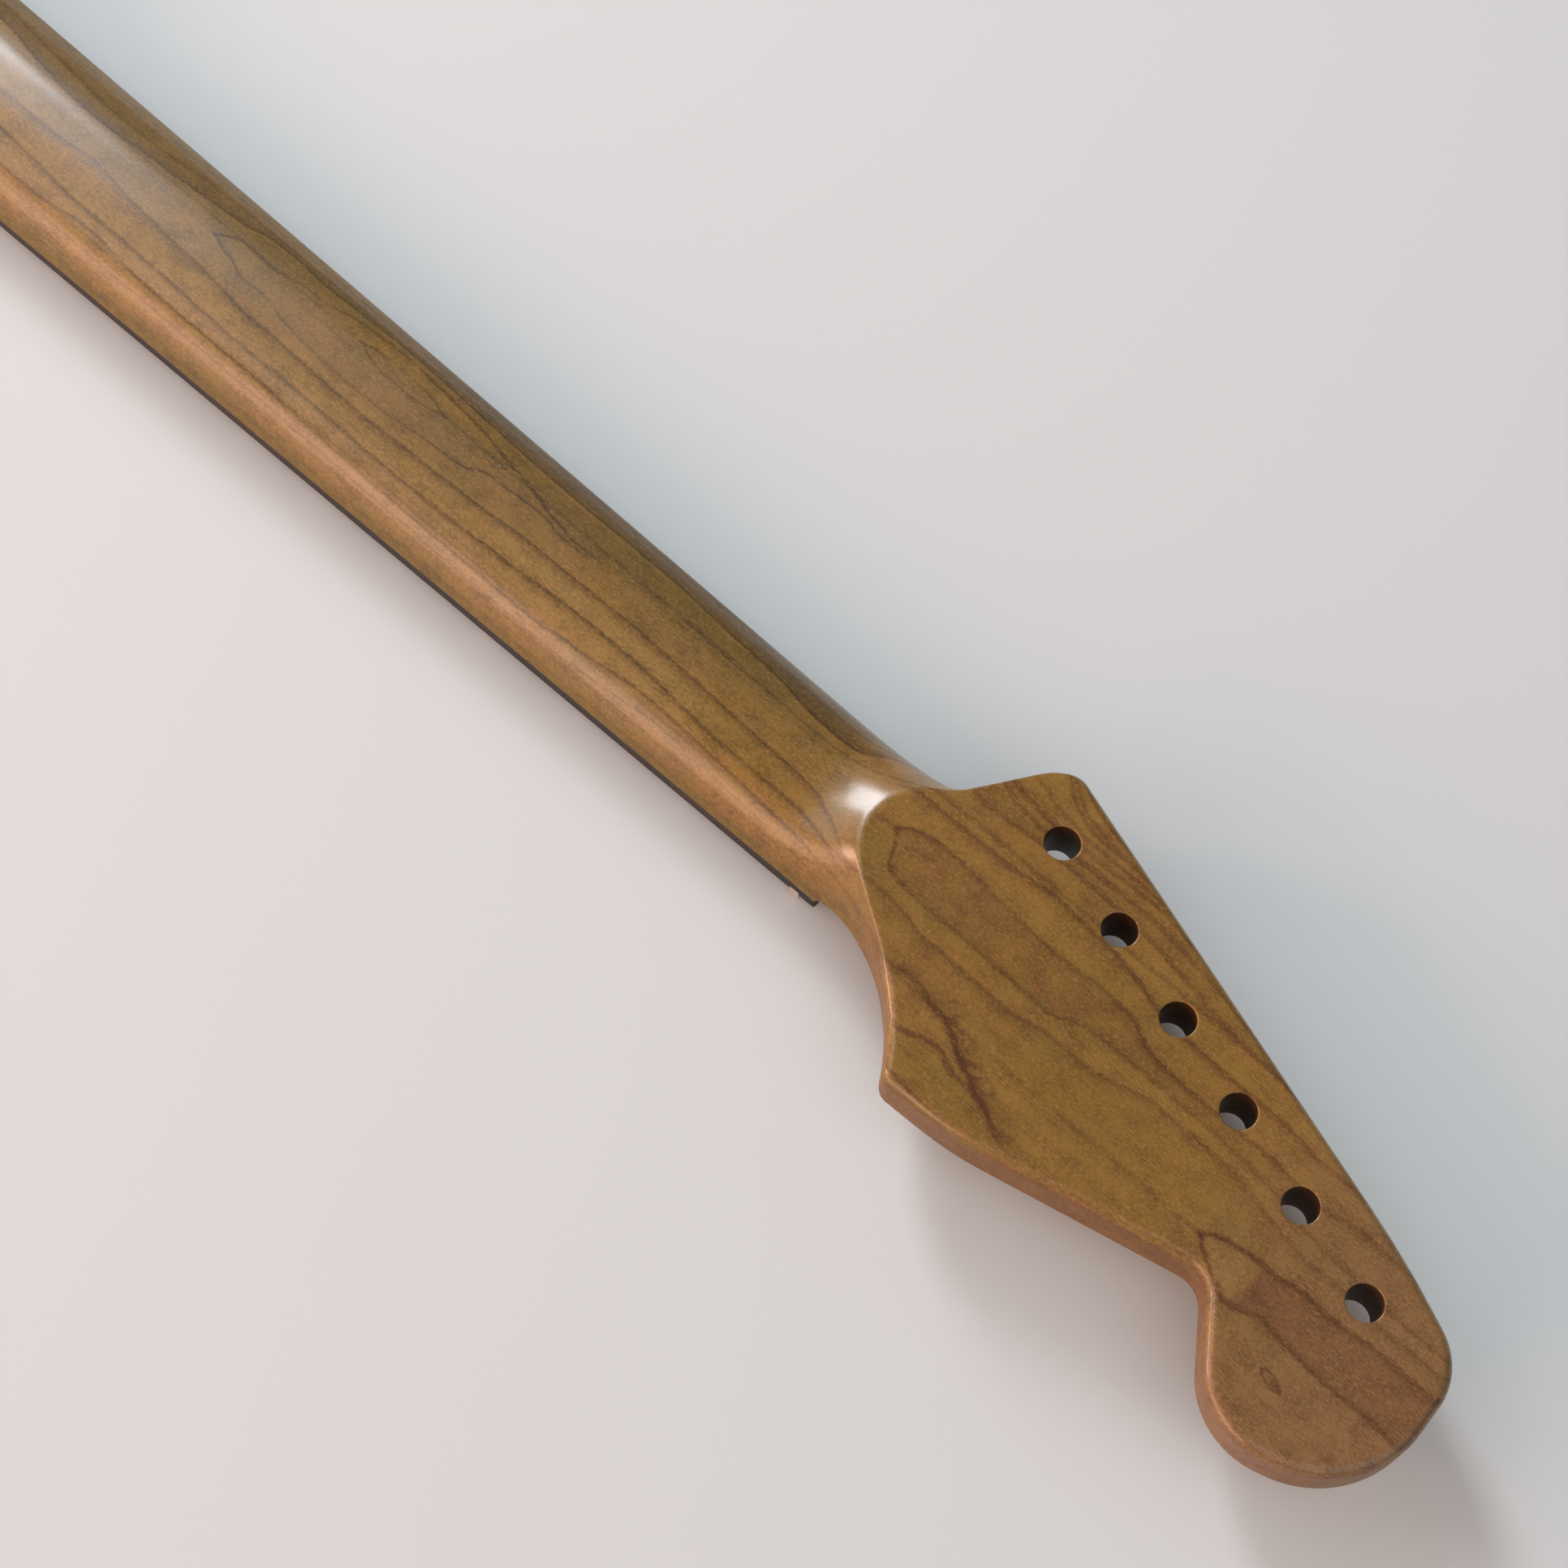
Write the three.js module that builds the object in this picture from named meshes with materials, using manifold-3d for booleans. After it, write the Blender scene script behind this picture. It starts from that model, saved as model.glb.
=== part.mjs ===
import * as THREE from "three";
import { mergeVertices } from "three/addons/utils/BufferGeometryUtils.js";
import Module from "manifold-3d";

// Bolt-on electric guitar neck, left handed, with six tuner holes in line. Millimetres.
// +X runs from the heel to the headstock's tip, +Y to the tuner edge, +Z out of the back.
// The origin is the middle of the four heel screws, on the heel's flat back.

// Scale and shaft
const scaleLength = 647.7;
const fretCount = 22;
const notesPerOctave = 12;
const nutWidth = 42;
const heelWidth = 56;
const heelThickness = 25.4; // from the heel's back to the crown of the board
const boardThickness = 5.2; // at the crown
const boardRadius = 241.3; // across the playing face
const thicknessAtFirstFret = 21;
const thicknessAtTwelfthFret = 22.5;
const lastFretPastHeel = 4.5; // the board overhangs the heel to carry the last fret
const boardPastLastFret = 7.5;
const boardPastNut = 4.7;
const crownFlat = 0.8; // width of the flat line left along the shaft's back
const shaftFullness = 2.25; // exponent of the C-shaped section
const ellipseFullness = 2; // exponent that makes an ellipse or a circle

// Heel
const screwSpacingAlong = 50.8;
const screwSpacingAcross = 38.1;
const heelEndToScrews = 12.1; // from the heel's end to the first pair of screws
const pilotHoleRadius = 1.6;
const pilotHoleDepth = 17;
const heelCornerRadius = 4;
const heelFlatPastScrews = 13;
const heelRampLength = 42; // where the square heel turns into the round shaft
const heelEdgeRadius = 2.5;

// Headstock
const headstockThickness = 14.4;
const firstTunerFromNut = 45.2;
const firstTunerOffset = 23.5; // from the centre line
const tunerSpacing = 25.1;
const tunerCount = 6;
const tunerLineAngle = THREE.MathUtils.degToRad(17.9);
const tunerHoleRadius = 4.37;
const firstTunerMargin = 13.9; // from the first tuner to the headstock's straight edge
const lastTunerMargin = 14.3; // and from the last
const edgeBeforeFirstTuner = 16.8;
const tipPastLastTuner = 26.4;
const headstockReach = 57.9; // from the centre line to the low side of the round tip
const headstockEdgeRadius = 2.5;
const scoopBeforeNut = 12; // where the back starts to rise to the headstock
const scoopPastNut = 7.2; // where it reaches the flat back of the headstock
const flankBlendLength = 16; // over which the shaft's flanks turn into the even rounded edge
const frontRampLength = 13; // from the board's end down to the headstock's front
const platePastPeak = 1.6; // the even thickness starts this far past the rounding of its peak
const blendOverlap = 2.2; // and the shaft has blended into it this far past its rounded start

// Nut
const nutThickness = 3.3;
const nutAboveBoard = 2.8;
const boardUnderNut = 2.8;
const stringCount = 6;
const stringSpread = 35; // from the first string slot to the last
const stringSlotRadius = 0.5;
const stringSlotDepth = 0.9;

// Frets
const fretCrownWidth = 2.4;
const fretCrownHeight = 1.15;
const fretTangThickness = 0.5;
const fretTangDepth = 1.5;
const fretEndInset = 0.4;

// Position dots
const faceDotRadius = 3.2;
const faceDotThickness = 1.8;
const octaveDotOffset = 12.7; // of the two dots at the twelfth fret
const sideDotRadius = 1.1;
const sideDotLength = 3;
const octaveSideDotOffset = 3.2;
const dotFrets = [3, 5, 7, 9, 12, 15, 17, 19, 21];
const octaveFret = 12;

// Truss rod
const rodRadius = 2.4;
const rodDepth = 6.3; // from the seat of the board to the rod's axis
const rodFromHeelEnd = 14;
const barWidth = 5.8;
const barThickness = 3;
const blockLength = 12;
const blockWidth = 6;
const blockHeight = 9.6;
const rearBlockFromRodEnd = 2;
const adjusterRadius = 3.5;
const adjusterLength = 13;
const adjusterPastNut = 9.5;
const adjusterGrip = 5; // how far the rod's end reaches into the adjusting nut
const hexAcrossFlats = 4;
const hexDepth = 6;
const accessPastNut = 23;
const accessWidth = 8.4;

// Fits
const fitGap = 0.1; // between glued or pressed pieces and their slots
const runningGap = 0.1; // round the turning rod
const channelGap = 0.3; // round the truss rod's pieces
const overrun = 2; // cutters stand this far out of what they cut
const leastStep = 0.1; // keeps neighbouring points of a section apart
const seamInset = 0.05; // the shaft's end lies this far inside the headstock that it is joined to

// Derived places
const firstFret = 1;
const lastFretDistance = fretDistance(fretCount);
const heelEndX = -screwSpacingAlong / 2 - heelEndToScrews;
const nutX = heelEndX + lastFretDistance - lastFretPastHeel;
const boardEndX = nutX - lastFretDistance - boardPastLastFret;
const boardFrontX = nutX + nutThickness + boardPastNut;
const heelFlatEndX = screwSpacingAlong / 2 + heelFlatPastScrews;
const heelRampEndX = heelFlatEndX + heelRampLength;
const scoopStartX = nutX - scoopBeforeNut;
const scoopEndX = nutX + scoopPastNut;
const crownZ = -heelThickness;
const jointZ = crownZ + boardThickness;
const frontZ = -headstockThickness;
const nutHalf = nutWidth / 2;
const tunerRun = tunerSpacing * (tunerCount - 1);
const tunerAlong = new THREE.Vector2(Math.cos(tunerLineAngle), -Math.sin(tunerLineAngle));
const tunerOut = new THREE.Vector2(Math.sin(tunerLineAngle), Math.cos(tunerLineAngle));
const firstTuner = new THREE.Vector2(nutX + firstTunerFromNut, firstTunerOffset);
const headstockLength = firstTunerFromNut + tunerRun * tunerAlong.x + tipPastLastTuner;
const rodZ = jointZ + rodDepth;
const rodRearX = heelEndX + rodFromHeelEnd;
const adjusterFrontX = nutX + adjusterPastNut;
const adjusterRearX = adjusterFrontX - adjusterLength;
const frontBlockX = adjusterRearX - runningGap;
const rearBlockX = rodRearX + rearBlockFromRodEnd;

// Distance of a fret from the nut on an equal-tempered scale.
function fretDistance(fret) {
  return scaleLength * (1 - 2 ** (-fret / notesPerOctave));
}

function fretX(fret) {
  return nutX - fretDistance(fret);
}

function smoothShare(value, low, high) {
  return THREE.MathUtils.smoothstep(value, low, high);
}

// Half the width of the shaft and of the board, which taper in one straight line.
function halfWidthAt(x) {
  return THREE.MathUtils.mapLinear(x, nutX, heelEndX, nutWidth / 2, heelWidth / 2);
}

// How far the board's face falls away from its crown at a distance from the centre line.
function archDrop(y) {
  return boardRadius - Math.sqrt(boardRadius ** 2 - y ** 2);
}

// The points of each rounded corner of a path, given as [x, y, share]. A rounding takes up
// that share of the shorter edge beside its corner.
function roundedCorners(corners, stepAngle) {
  const count = corners.length;
  return corners.map(([x, y, roundShare], index) => {
    const corner = new THREE.Vector2(x, y);
    if (!roundShare) {
      return [corner];
    }
    const before = new THREE.Vector2(...corners[(index + count - 1) % count]).sub(corner);
    const after = new THREE.Vector2(...corners[(index + 1) % count]).sub(corner);
    const toTangent = roundShare * Math.min(before.length(), after.length());
    before.normalize();
    after.normalize();
    const opening = Math.acos(before.dot(after));
    const turn = Math.PI - opening;
    const radius = toTangent * Math.tan(opening / 2);
    const middle = before.clone().add(after).normalize();
    const centre = corner.clone().addScaledVector(middle, radius / Math.sin(opening / 2));
    const start = corner.clone().addScaledVector(before, toTangent);
    const way = Math.sign(-before.x * after.y + before.y * after.x);
    const steps = Math.max(1, Math.ceil(turn / stepAngle));
    const angles = countUp(steps + 1).map((step) => (way * turn * step) / steps);
    return angles.map((angle) => start.clone().rotateAround(centre, angle));
  });
}

// A point of the tuner edge, at a distance from the first tuner along it.
function tunerEdgePoint(distance) {
  const margin = THREE.MathUtils.mapLinear(distance, 0, tunerRun, firstTunerMargin, lastTunerMargin);
  return firstTuner.clone().addScaledVector(tunerAlong, distance).addScaledVector(tunerOut, margin);
}

// The headstock's outline from the nut round the tip and back, as corners with their roundings.
// Places are shares of the headstock's length and of its reach.
function headstockCorners() {
  const cornerShares = {
    throat: [0.1828, 0.85],
    horn: [0.2762, 0.8535, 0.13],
    bend: [0.3852, 0.837, 0.397],
    notch: [0.7086, 0.5755, 0.16],
    ball: [0.8131, 1.06, 0.438],
    tip: [1.0065, 0.8665, 0.56],
    shoulder: [0.9945, 0.2, 0.369],
    edgeEnd: [0.9745, 0.541],
    peak: 0.242,
    farThroat: [0.093, 0.24],
  };
  const place = ([alongShare, acrossShare, roundShare]) => [
    nutX + alongShare * headstockLength,
    -acrossShare * headstockReach,
    roundShare,
  ];
  const { throat, horn, bend, notch, ball, tip, shoulder, edgeEnd, peak, farThroat } = cornerShares;
  const edgeEndPoint = tunerEdgePoint(edgeEnd[0] * tunerRun);
  const peakPoint = tunerEdgePoint(-edgeBeforeFirstTuner);
  return [
    [nutX, -nutHalf, 0],
    [nutX + throat[0] * headstockLength, -nutHalf, throat[1]],
    ...[horn, bend, notch, ball, tip, shoulder].map(place),
    [edgeEndPoint.x, edgeEndPoint.y, edgeEnd[1]],
    [peakPoint.x, peakPoint.y, peak],
    [nutX + farThroat[0] * headstockLength, nutHalf, farThroat[1]],
    [nutX, nutHalf, 0],
  ];
}

const cornerStep = THREE.MathUtils.degToRad(9);
const roundings = roundedCorners(headstockCorners(), cornerStep);
const headstockPath = roundings.flat();
const tipX = Math.max(...headstockPath.map((point) => point.x));
const tipIndex = headstockPath.findIndex((point) => point.x === tipX);
const nearEdge = headstockPath.slice(0, tipIndex + 1);
const farEdge = headstockPath.slice(tipIndex).reverse();
const peakRounding = roundings.at(-3);
const plateStartX = Math.max(...peakRounding.map((point) => point.x)) + platePastPeak;
const blendEndX = plateStartX + headstockEdgeRadius + blendOverlap;
const blendStartX = blendEndX - flankBlendLength;

// Distance of the headstock's edge from the centre line, on one side.
function edgeAt(edge, x) {
  const index = Math.max(1, edge.findIndex((point) => point.x > x));
  const [low, high] = [edge[index - 1], edge[index]];
  return Math.abs(THREE.MathUtils.mapLinear(x, low.x, high.x, low.y, high.y));
}

const roundSteps = 9;
const frontRoundSteps = 2;
const sectionCount = 2 * (roundSteps + 1 + frontRoundSteps + 1);
const noseSpread = 1.7; // exponent that gathers the sections where the flat back starts

function seamInsetAt(x) {
  return seamInset * smoothShare(x, scoopEndX, plateStartX);
}

// Height of the shaft's crown: flat heel, ramp, slender shaft and scoop. Past the scoop it goes
// on rising, and the flat back of the headstock cuts it off.
function crownHeightAt(x) {
  const firstX = fretX(firstFret);
  const octaveX = fretX(octaveFret);
  const shaft =
    crownZ + THREE.MathUtils.mapLinear(x, firstX, octaveX, thicknessAtFirstFret, thicknessAtTwelfthFret);
  if (x < heelRampEndX) {
    return shaft * smoothShare(x, heelFlatEndX, heelRampEndX);
  }
  const scoop = Math.max(0, (x - scoopStartX) / (scoopEndX - scoopStartX));
  return shaft * (1 - scoop ** 2);
}

function backHeightAt(x) {
  return Math.min(crownHeightAt(x), -seamInsetAt(x));
}

// Height of the front under the board, and of the ramp down to the headstock's front.
function frontHeightAt(x) {
  const ramp = THREE.MathUtils.clamp((x - boardFrontX - fitGap) / frontRampLength, 0, 1);
  return jointZ + (frontZ - jointZ) * Math.sqrt(1 - (1 - ramp) ** 2) + seamInsetAt(x);
}

// Half the width of the section on the side that the edge is on.
function sideWidthAt(x, edge) {
  if (x > nutX) {
    return edgeAt(edge, x) - seamInsetAt(x);
  }
  const corner = Math.min(heelCornerRadius, x - heelEndX);
  const cornerWidth = Math.sqrt(heelCornerRadius ** 2 - (heelCornerRadius - corner) ** 2);
  return halfWidthAt(x) - heelCornerRadius + cornerWidth;
}

// A side's rounding from its edge to the flat back, as distances from the centre line and from
// the front. It is the shaft's curve, cut off at the flat back, and then the even rounded edge.
function flankPoints(x, width) {
  const thickness = backHeightAt(x) - frontHeightAt(x);
  const height = crownHeightAt(x) - frontHeightAt(x);
  const round = smoothShare(x, heelFlatEndX, heelRampEndX);
  const margin = THREE.MathUtils.lerp(heelEdgeRadius, width - crownFlat / 2, round);
  const roundHeight = THREE.MathUtils.lerp(heelEdgeRadius, height, round);
  const fullness = THREE.MathUtils.lerp(ellipseFullness, shaftFullness, round);
  const cutAngle = Math.asin(Math.min(1, thickness / height) ** (fullness / 2));
  const done = smoothShare(x, blendStartX, blendEndX);
  return countUp(roundSteps + 1).map((step) => {
    const angle = (cutAngle * step) / roundSteps;
    const out = Math.cos(angle) ** (2 / fullness);
    const up = Math.sin(angle) ** (2 / fullness);
    const edgeAngle = ((Math.PI / 2) * step) / roundSteps;
    const edgeOut = width - headstockEdgeRadius * (1 - Math.cos(edgeAngle));
    const edgeUp = thickness - headstockEdgeRadius * (1 - Math.sin(edgeAngle));
    return [
      THREE.MathUtils.lerp(width - margin * (1 - out), edgeOut, done),
      THREE.MathUtils.lerp(height - roundHeight * (1 - up), edgeUp, done),
    ];
  });
}

// The sections' places along the neck: close together where the shape turns, and closest
// where the flat back starts.
function stationPlaces() {
  const stretches = [
    [heelEndX, heelEndX + heelCornerRadius, 5, 1],
    [heelEndX + heelCornerRadius, heelFlatEndX, 1, 1],
    [heelFlatEndX, heelRampEndX, 12, 1],
    [heelRampEndX, scoopStartX, 5, 1],
    [scoopStartX, scoopEndX, 10, 1],
    [scoopEndX, blendEndX, 24, noseSpread],
  ];
  const places = [heelEndX];
  stretches.forEach(([start, end, steps, spread]) => {
    for (let step = 1; step <= steps; step += 1) {
      places.push(THREE.MathUtils.lerp(start, end, (step / steps) ** spread));
    }
  });
  return places;
}

// The section's points, counter-clockwise seen from the tip.
function sectionPoints(x) {
  const front = frontHeightAt(x);
  const frontRound = headstockEdgeRadius * smoothShare(x, boardFrontX, blendEndX) + leastStep;
  const halves = [
    [1, sideWidthAt(x, farEdge)],
    [-1, sideWidthAt(x, nearEdge)],
  ].map(([sign, width]) => {
    const points = [];
    for (let step = 0; step <= frontRoundSteps; step += 1) {
      const angle = (Math.PI / 2) * (1 - step / frontRoundSteps);
      const inward = frontRound * (1 - Math.cos(angle));
      points.push([sign * (width - inward), front + frontRound * (1 - Math.sin(angle))]);
    }
    flankPoints(x, width).forEach(([out, up], step) => {
      points.push([sign * out, front + Math.max(up, frontRound + leastStep * (step + 1))]);
    });
    return points;
  });
  return [...halves[0], ...halves[1].reverse()];
}

// A cylinder whose rings are moved onto the sections.
function shaftGeometry() {
  const places = stationPlaces();
  const levels = places.length - 1;
  const geometry = new THREE.CylinderGeometry(1, 1, 1, sectionCount, levels);
  const sections = places.map(sectionPoints);
  const position = geometry.getAttribute("position");
  for (let index = 0; index < position.count; index += 1) {
    const [across, along, up] = [position.getX(index), position.getY(index), position.getZ(index)];
    const level = Math.round((along + 1 / 2) * levels);
    const section = sections[level];
    const turn = Math.atan2(across, up) / (2 * Math.PI);
    const corner = (Math.round(turn * sectionCount) + sectionCount) % sectionCount;
    const isCentre = Math.hypot(across, up) < 1 / 2;
    const middle = (frontHeightAt(places[level]) + backHeightAt(places[level])) / 2;
    const [y, z] = isCentre ? [0, middle] : section[corner];
    position.setXYZ(index, places[level], y, z);
  }
  return geometry;
}

// The flat part of the headstock, with rounded edges all round.
function headstockGeometry() {
  const rim = headstockPath.filter((point) => point.x > plateStartX);
  const near = new THREE.Vector2(plateStartX, -edgeAt(nearEdge, plateStartX));
  const far = new THREE.Vector2(plateStartX, edgeAt(farEdge, plateStartX));
  const geometry = new THREE.ExtrudeGeometry(new THREE.Shape([near, ...rim, far]), {
    depth: headstockThickness - 2 * headstockEdgeRadius,
    bevelThickness: headstockEdgeRadius,
    bevelSize: headstockEdgeRadius,
    bevelOffset: -headstockEdgeRadius,
    bevelSegments: 3,
  });
  return geometry.translate(0, 0, frontZ + headstockEdgeRadius);
}

const wasm = await Module();
wasm.setup();

// A closed geometry as a solid that can be joined and cut.
function toSolid(geometry) {
  const bare = geometry.clone();
  bare.deleteAttribute("normal");
  bare.deleteAttribute("uv");
  const merged = mergeVertices(bare);
  return new wasm.Manifold(
    new wasm.Mesh({
      numProp: 3,
      vertProperties: merged.getAttribute("position").array,
      triVerts: new Uint32Array(merged.index.array),
    }),
  );
}

function toGeometry(solid) {
  const { vertProperties, triVerts } = solid.getMesh();
  const geometry = new THREE.BufferGeometry();
  geometry.setAttribute("position", new THREE.BufferAttribute(vertProperties, 3));
  geometry.setIndex(new THREE.BufferAttribute(triVerts, 1));
  const faceted = geometry.toNonIndexed();
  faceted.computeVertexNormals();
  return faceted;
}

// A box between two places on each axis.
function boxGeometry([lowX, highX], [lowY, highY], [lowZ, highZ]) {
  const geometry = new THREE.BoxGeometry(highX - lowX, highY - lowY, highZ - lowZ);
  return geometry.translate((lowX + highX) / 2, (lowY + highY) / 2, (lowZ + highZ) / 2);
}

// Round bars along each axis.
function barAlongX(radius, [lowX, highX], y, z, sides) {
  const geometry = new THREE.CylinderGeometry(radius, radius, highX - lowX, sides);
  return geometry.rotateZ(-Math.PI / 2).translate((lowX + highX) / 2, y, z);
}

function barAlongY(radius, x, [lowY, highY], z, sides) {
  const geometry = new THREE.CylinderGeometry(radius, radius, highY - lowY, sides);
  return geometry.translate(x, (lowY + highY) / 2, z);
}

function barAlongZ(radius, x, y, [lowZ, highZ], sides) {
  const geometry = new THREE.CylinderGeometry(radius, radius, highZ - lowZ, sides);
  return geometry.rotateX(Math.PI / 2).translate(x, y, (lowZ + highZ) / 2);
}

function countUp(count) {
  return Array.from({ length: count }, (_, index) => index);
}

function twoDigits(number) {
  return String(number).padStart(2, "0");
}

const holeSides = 28;
const smallSides = 12;
const rodSides = 24;
const archSteps = 8;
const frets = countUp(fretCount).map((index) => index + 1);

// The six tuner holes' middles, from the nut to the tip.
function tunerPlaces() {
  return countUp(tunerCount).map((index) =>
    firstTuner.clone().addScaledVector(tunerAlong, index * tunerSpacing),
  );
}

// A bar along X with a flat seat and a face that follows the board's radius.
function archedBar(halfWidth, seatZ, crestZ, [lowX, highX]) {
  const face = countUp(archSteps + 1).map((step) => {
    const y = halfWidth * (1 - (2 * step) / archSteps);
    return new THREE.Vector2(y, crestZ + archDrop(y));
  });
  const seat = [new THREE.Vector2(-halfWidth, seatZ), new THREE.Vector2(halfWidth, seatZ)];
  const geometry = new THREE.ExtrudeGeometry(new THREE.Shape([...face, ...seat]), {
    depth: highX - lowX,
    bevelEnabled: false,
  });
  const sideways = new THREE.Matrix4().makeBasis(
    new THREE.Vector3(0, 1, 0),
    new THREE.Vector3(0, 0, 1),
    new THREE.Vector3(1, 0, 0),
  );
  return geometry.applyMatrix4(sideways).translate(lowX, 0, 0);
}

// A section drawn along the neck and above the board, swept across it along its arch.
function acrossBoard(points, x, halfLength) {
  const shape = new THREE.Shape(points.map(([along, above]) => new THREE.Vector2(along, above)));
  const geometry = new THREE.ExtrudeGeometry(shape, {
    depth: 2 * halfLength,
    steps: archSteps,
    bevelEnabled: false,
  });
  geometry.translate(0, 0, -halfLength).rotateX(-Math.PI / 2);
  const position = geometry.getAttribute("position");
  for (let index = 0; index < position.count; index += 1) {
    position.setZ(index, position.getZ(index) + crownZ + archDrop(position.getY(index)));
  }
  return geometry.translate(x, 0, 0);
}

// Position dots: where each one sits, and its name.
function dotPlaces() {
  return dotFrets
    .filter((fret) => fret <= fretCount)
    .flatMap((fret) => {
      const x = (fretX(fret) + fretX(fret - 1)) / 2;
      const name = twoDigits(fret);
      if (fret !== octaveFret) {
        return [{ name, x, y: 0, shift: 0 }];
      }
      return [
        { name: `${name}_bass`, x, y: octaveDotOffset, shift: -octaveSideDotOffset },
        { name: `${name}_treble`, x, y: -octaveDotOffset, shift: octaveSideDotOffset },
      ];
    });
}

// A dot in the board's face. The pocket's cutter is wider and stands out of the face.
function faceDot(dot, gap, standOut) {
  const topZ = crownZ + archDrop(dot.y) + fitGap;
  const span = [topZ - standOut, topZ + faceDotThickness];
  return barAlongZ(faceDotRadius + gap, dot.x, dot.y, span, rodSides);
}

// A dot in the board's bass edge, and its hole's cutter in the same way.
function sideDot(dot, gap, standOut) {
  const x = dot.x + dot.shift;
  const edgeY = halfWidthAt(x) - fitGap;
  const z = (jointZ + crownZ + archDrop(edgeY)) / 2;
  return barAlongY(sideDotRadius + gap, x, [edgeY - sideDotLength, edgeY + standOut], z, smallSides);
}

function subtractAll(solid, cutters) {
  return cutters.reduce((left, cutter) => left.subtract(toSolid(cutter)), solid);
}

function maple() {
  const tunerHoles = tunerPlaces().map(({ x, y }) =>
    barAlongZ(tunerHoleRadius, x, y, [frontZ - overrun, overrun], holeSides),
  );
  const pilotHoles = [-1, 1].flatMap((along) =>
    [-1, 1].map((across) => {
      const x = (along * screwSpacingAlong) / 2;
      const y = (across * screwSpacingAcross) / 2;
      return barAlongZ(pilotHoleRadius, x, y, [-pilotHoleDepth, overrun], smallSides);
    }),
  );
  const channelHalf = blockWidth / 2 + channelGap;
  const channel = boxGeometry(
    [rodRearX - channelGap, frontBlockX + overrun],
    [-channelHalf, channelHalf],
    [jointZ - overrun, jointZ + blockHeight + 2 * channelGap],
  );
  const access = boxGeometry(
    [frontBlockX, nutX + accessPastNut],
    [-accessWidth / 2, accessWidth / 2],
    [jointZ - overrun, rodZ + accessWidth / 2],
  );
  const whole = toSolid(shaftGeometry()).add(toSolid(headstockGeometry()));
  return subtractAll(whole, [...tunerHoles, ...pilotHoles, channel, access]);
}

function fingerboard() {
  const blank = archedBar(heelWidth / 2 + overrun, jointZ, crownZ, [boardEndX, boardFrontX]);
  const [endHalf, frontHalf] = [halfWidthAt(boardEndX), halfWidthAt(boardFrontX)];
  const plan = new THREE.Shape([
    new THREE.Vector2(boardEndX, -endHalf),
    new THREE.Vector2(boardFrontX, -frontHalf),
    new THREE.Vector2(boardFrontX, frontHalf),
    new THREE.Vector2(boardEndX, endHalf),
  ]);
  const depth = boardThickness + 2 * overrun;
  const taper = new THREE.ExtrudeGeometry(plan, { depth, bevelEnabled: false });
  taper.translate(0, 0, crownZ - overrun);
  const slotHalf = fretTangThickness / 2 + fitGap;
  const slotDepth = fretTangDepth + fitGap;
  const slotSection = [
    [-slotHalf, overrun],
    [-slotHalf, -slotDepth],
    [slotHalf, -slotDepth],
    [slotHalf, overrun],
  ];
  const fretSlots = frets.map(fretX).map((x) => acrossBoard(slotSection, x, halfWidthAt(x) + overrun));
  const nutSlot = boxGeometry(
    [nutX, nutX + nutThickness],
    [-nutWidth, nutWidth],
    [crownZ - overrun, jointZ - boardUnderNut],
  );
  const pockets = dotPlaces().flatMap((dot) => [
    faceDot(dot, fitGap, overrun),
    sideDot(dot, fitGap, overrun),
  ]);
  return subtractAll(toSolid(blank).intersect(toSolid(taper)), [...fretSlots, nutSlot, ...pockets]);
}

function nut() {
  const crestZ = crownZ - nutAboveBoard;
  const thick = [nutX + fitGap, nutX + nutThickness - fitGap];
  const body = archedBar(nutWidth / 2 - fitGap, jointZ - boardUnderNut, crestZ, thick);
  const around = [nutX - overrun, nutX + nutThickness + overrun];
  const stringSlots = countUp(stringCount).flatMap((index) => {
    const y = stringSpread * (index / (stringCount - 1) - 1 / 2);
    const z = crestZ + archDrop(y) + stringSlotDepth - stringSlotRadius;
    return [
      barAlongX(stringSlotRadius, around, y, z, smallSides),
      boxGeometry(around, [y - stringSlotRadius, y + stringSlotRadius], [crestZ - overrun, z]),
    ];
  });
  return subtractAll(toSolid(body), stringSlots);
}

function fret(number) {
  const crownSteps = 5;
  const rise = fretCrownHeight - fitGap;
  const crown = countUp(crownSteps + 1).map((step) => {
    const angle = (Math.PI * step) / crownSteps;
    return [(fretCrownWidth / 2) * Math.cos(angle), fitGap + rise * Math.sin(angle)];
  });
  const tangHalf = fretTangThickness / 2;
  const tang = [
    [-tangHalf, fitGap],
    [-tangHalf, -fretTangDepth],
    [tangHalf, -fretTangDepth],
    [tangHalf, fitGap],
  ];
  const x = fretX(number);
  return acrossBoard([...crown, ...tang], x, halfWidthAt(x) - fretEndInset);
}

// A block that ties the rod to the bar. The rod turns in its bore.
function rodBlock(lowX) {
  const seatZ = jointZ + channelGap;
  const body = boxGeometry(
    [lowX, lowX + blockLength],
    [-blockWidth / 2, blockWidth / 2],
    [seatZ, seatZ + blockHeight],
  );
  const reach = [lowX - overrun, lowX + blockLength + overrun];
  return subtractAll(toSolid(body), [barAlongX(rodRadius + runningGap, reach, 0, rodZ, rodSides)]);
}

function tensionBar() {
  const seatZ = jointZ + channelGap;
  return boxGeometry(
    [rearBlockX + blockLength, frontBlockX - blockLength],
    [-barWidth / 2, barWidth / 2],
    [seatZ, seatZ + barThickness],
  );
}

function trussRod() {
  return barAlongX(rodRadius, [rodRearX, adjusterRearX + adjusterGrip], 0, rodZ, rodSides);
}

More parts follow.
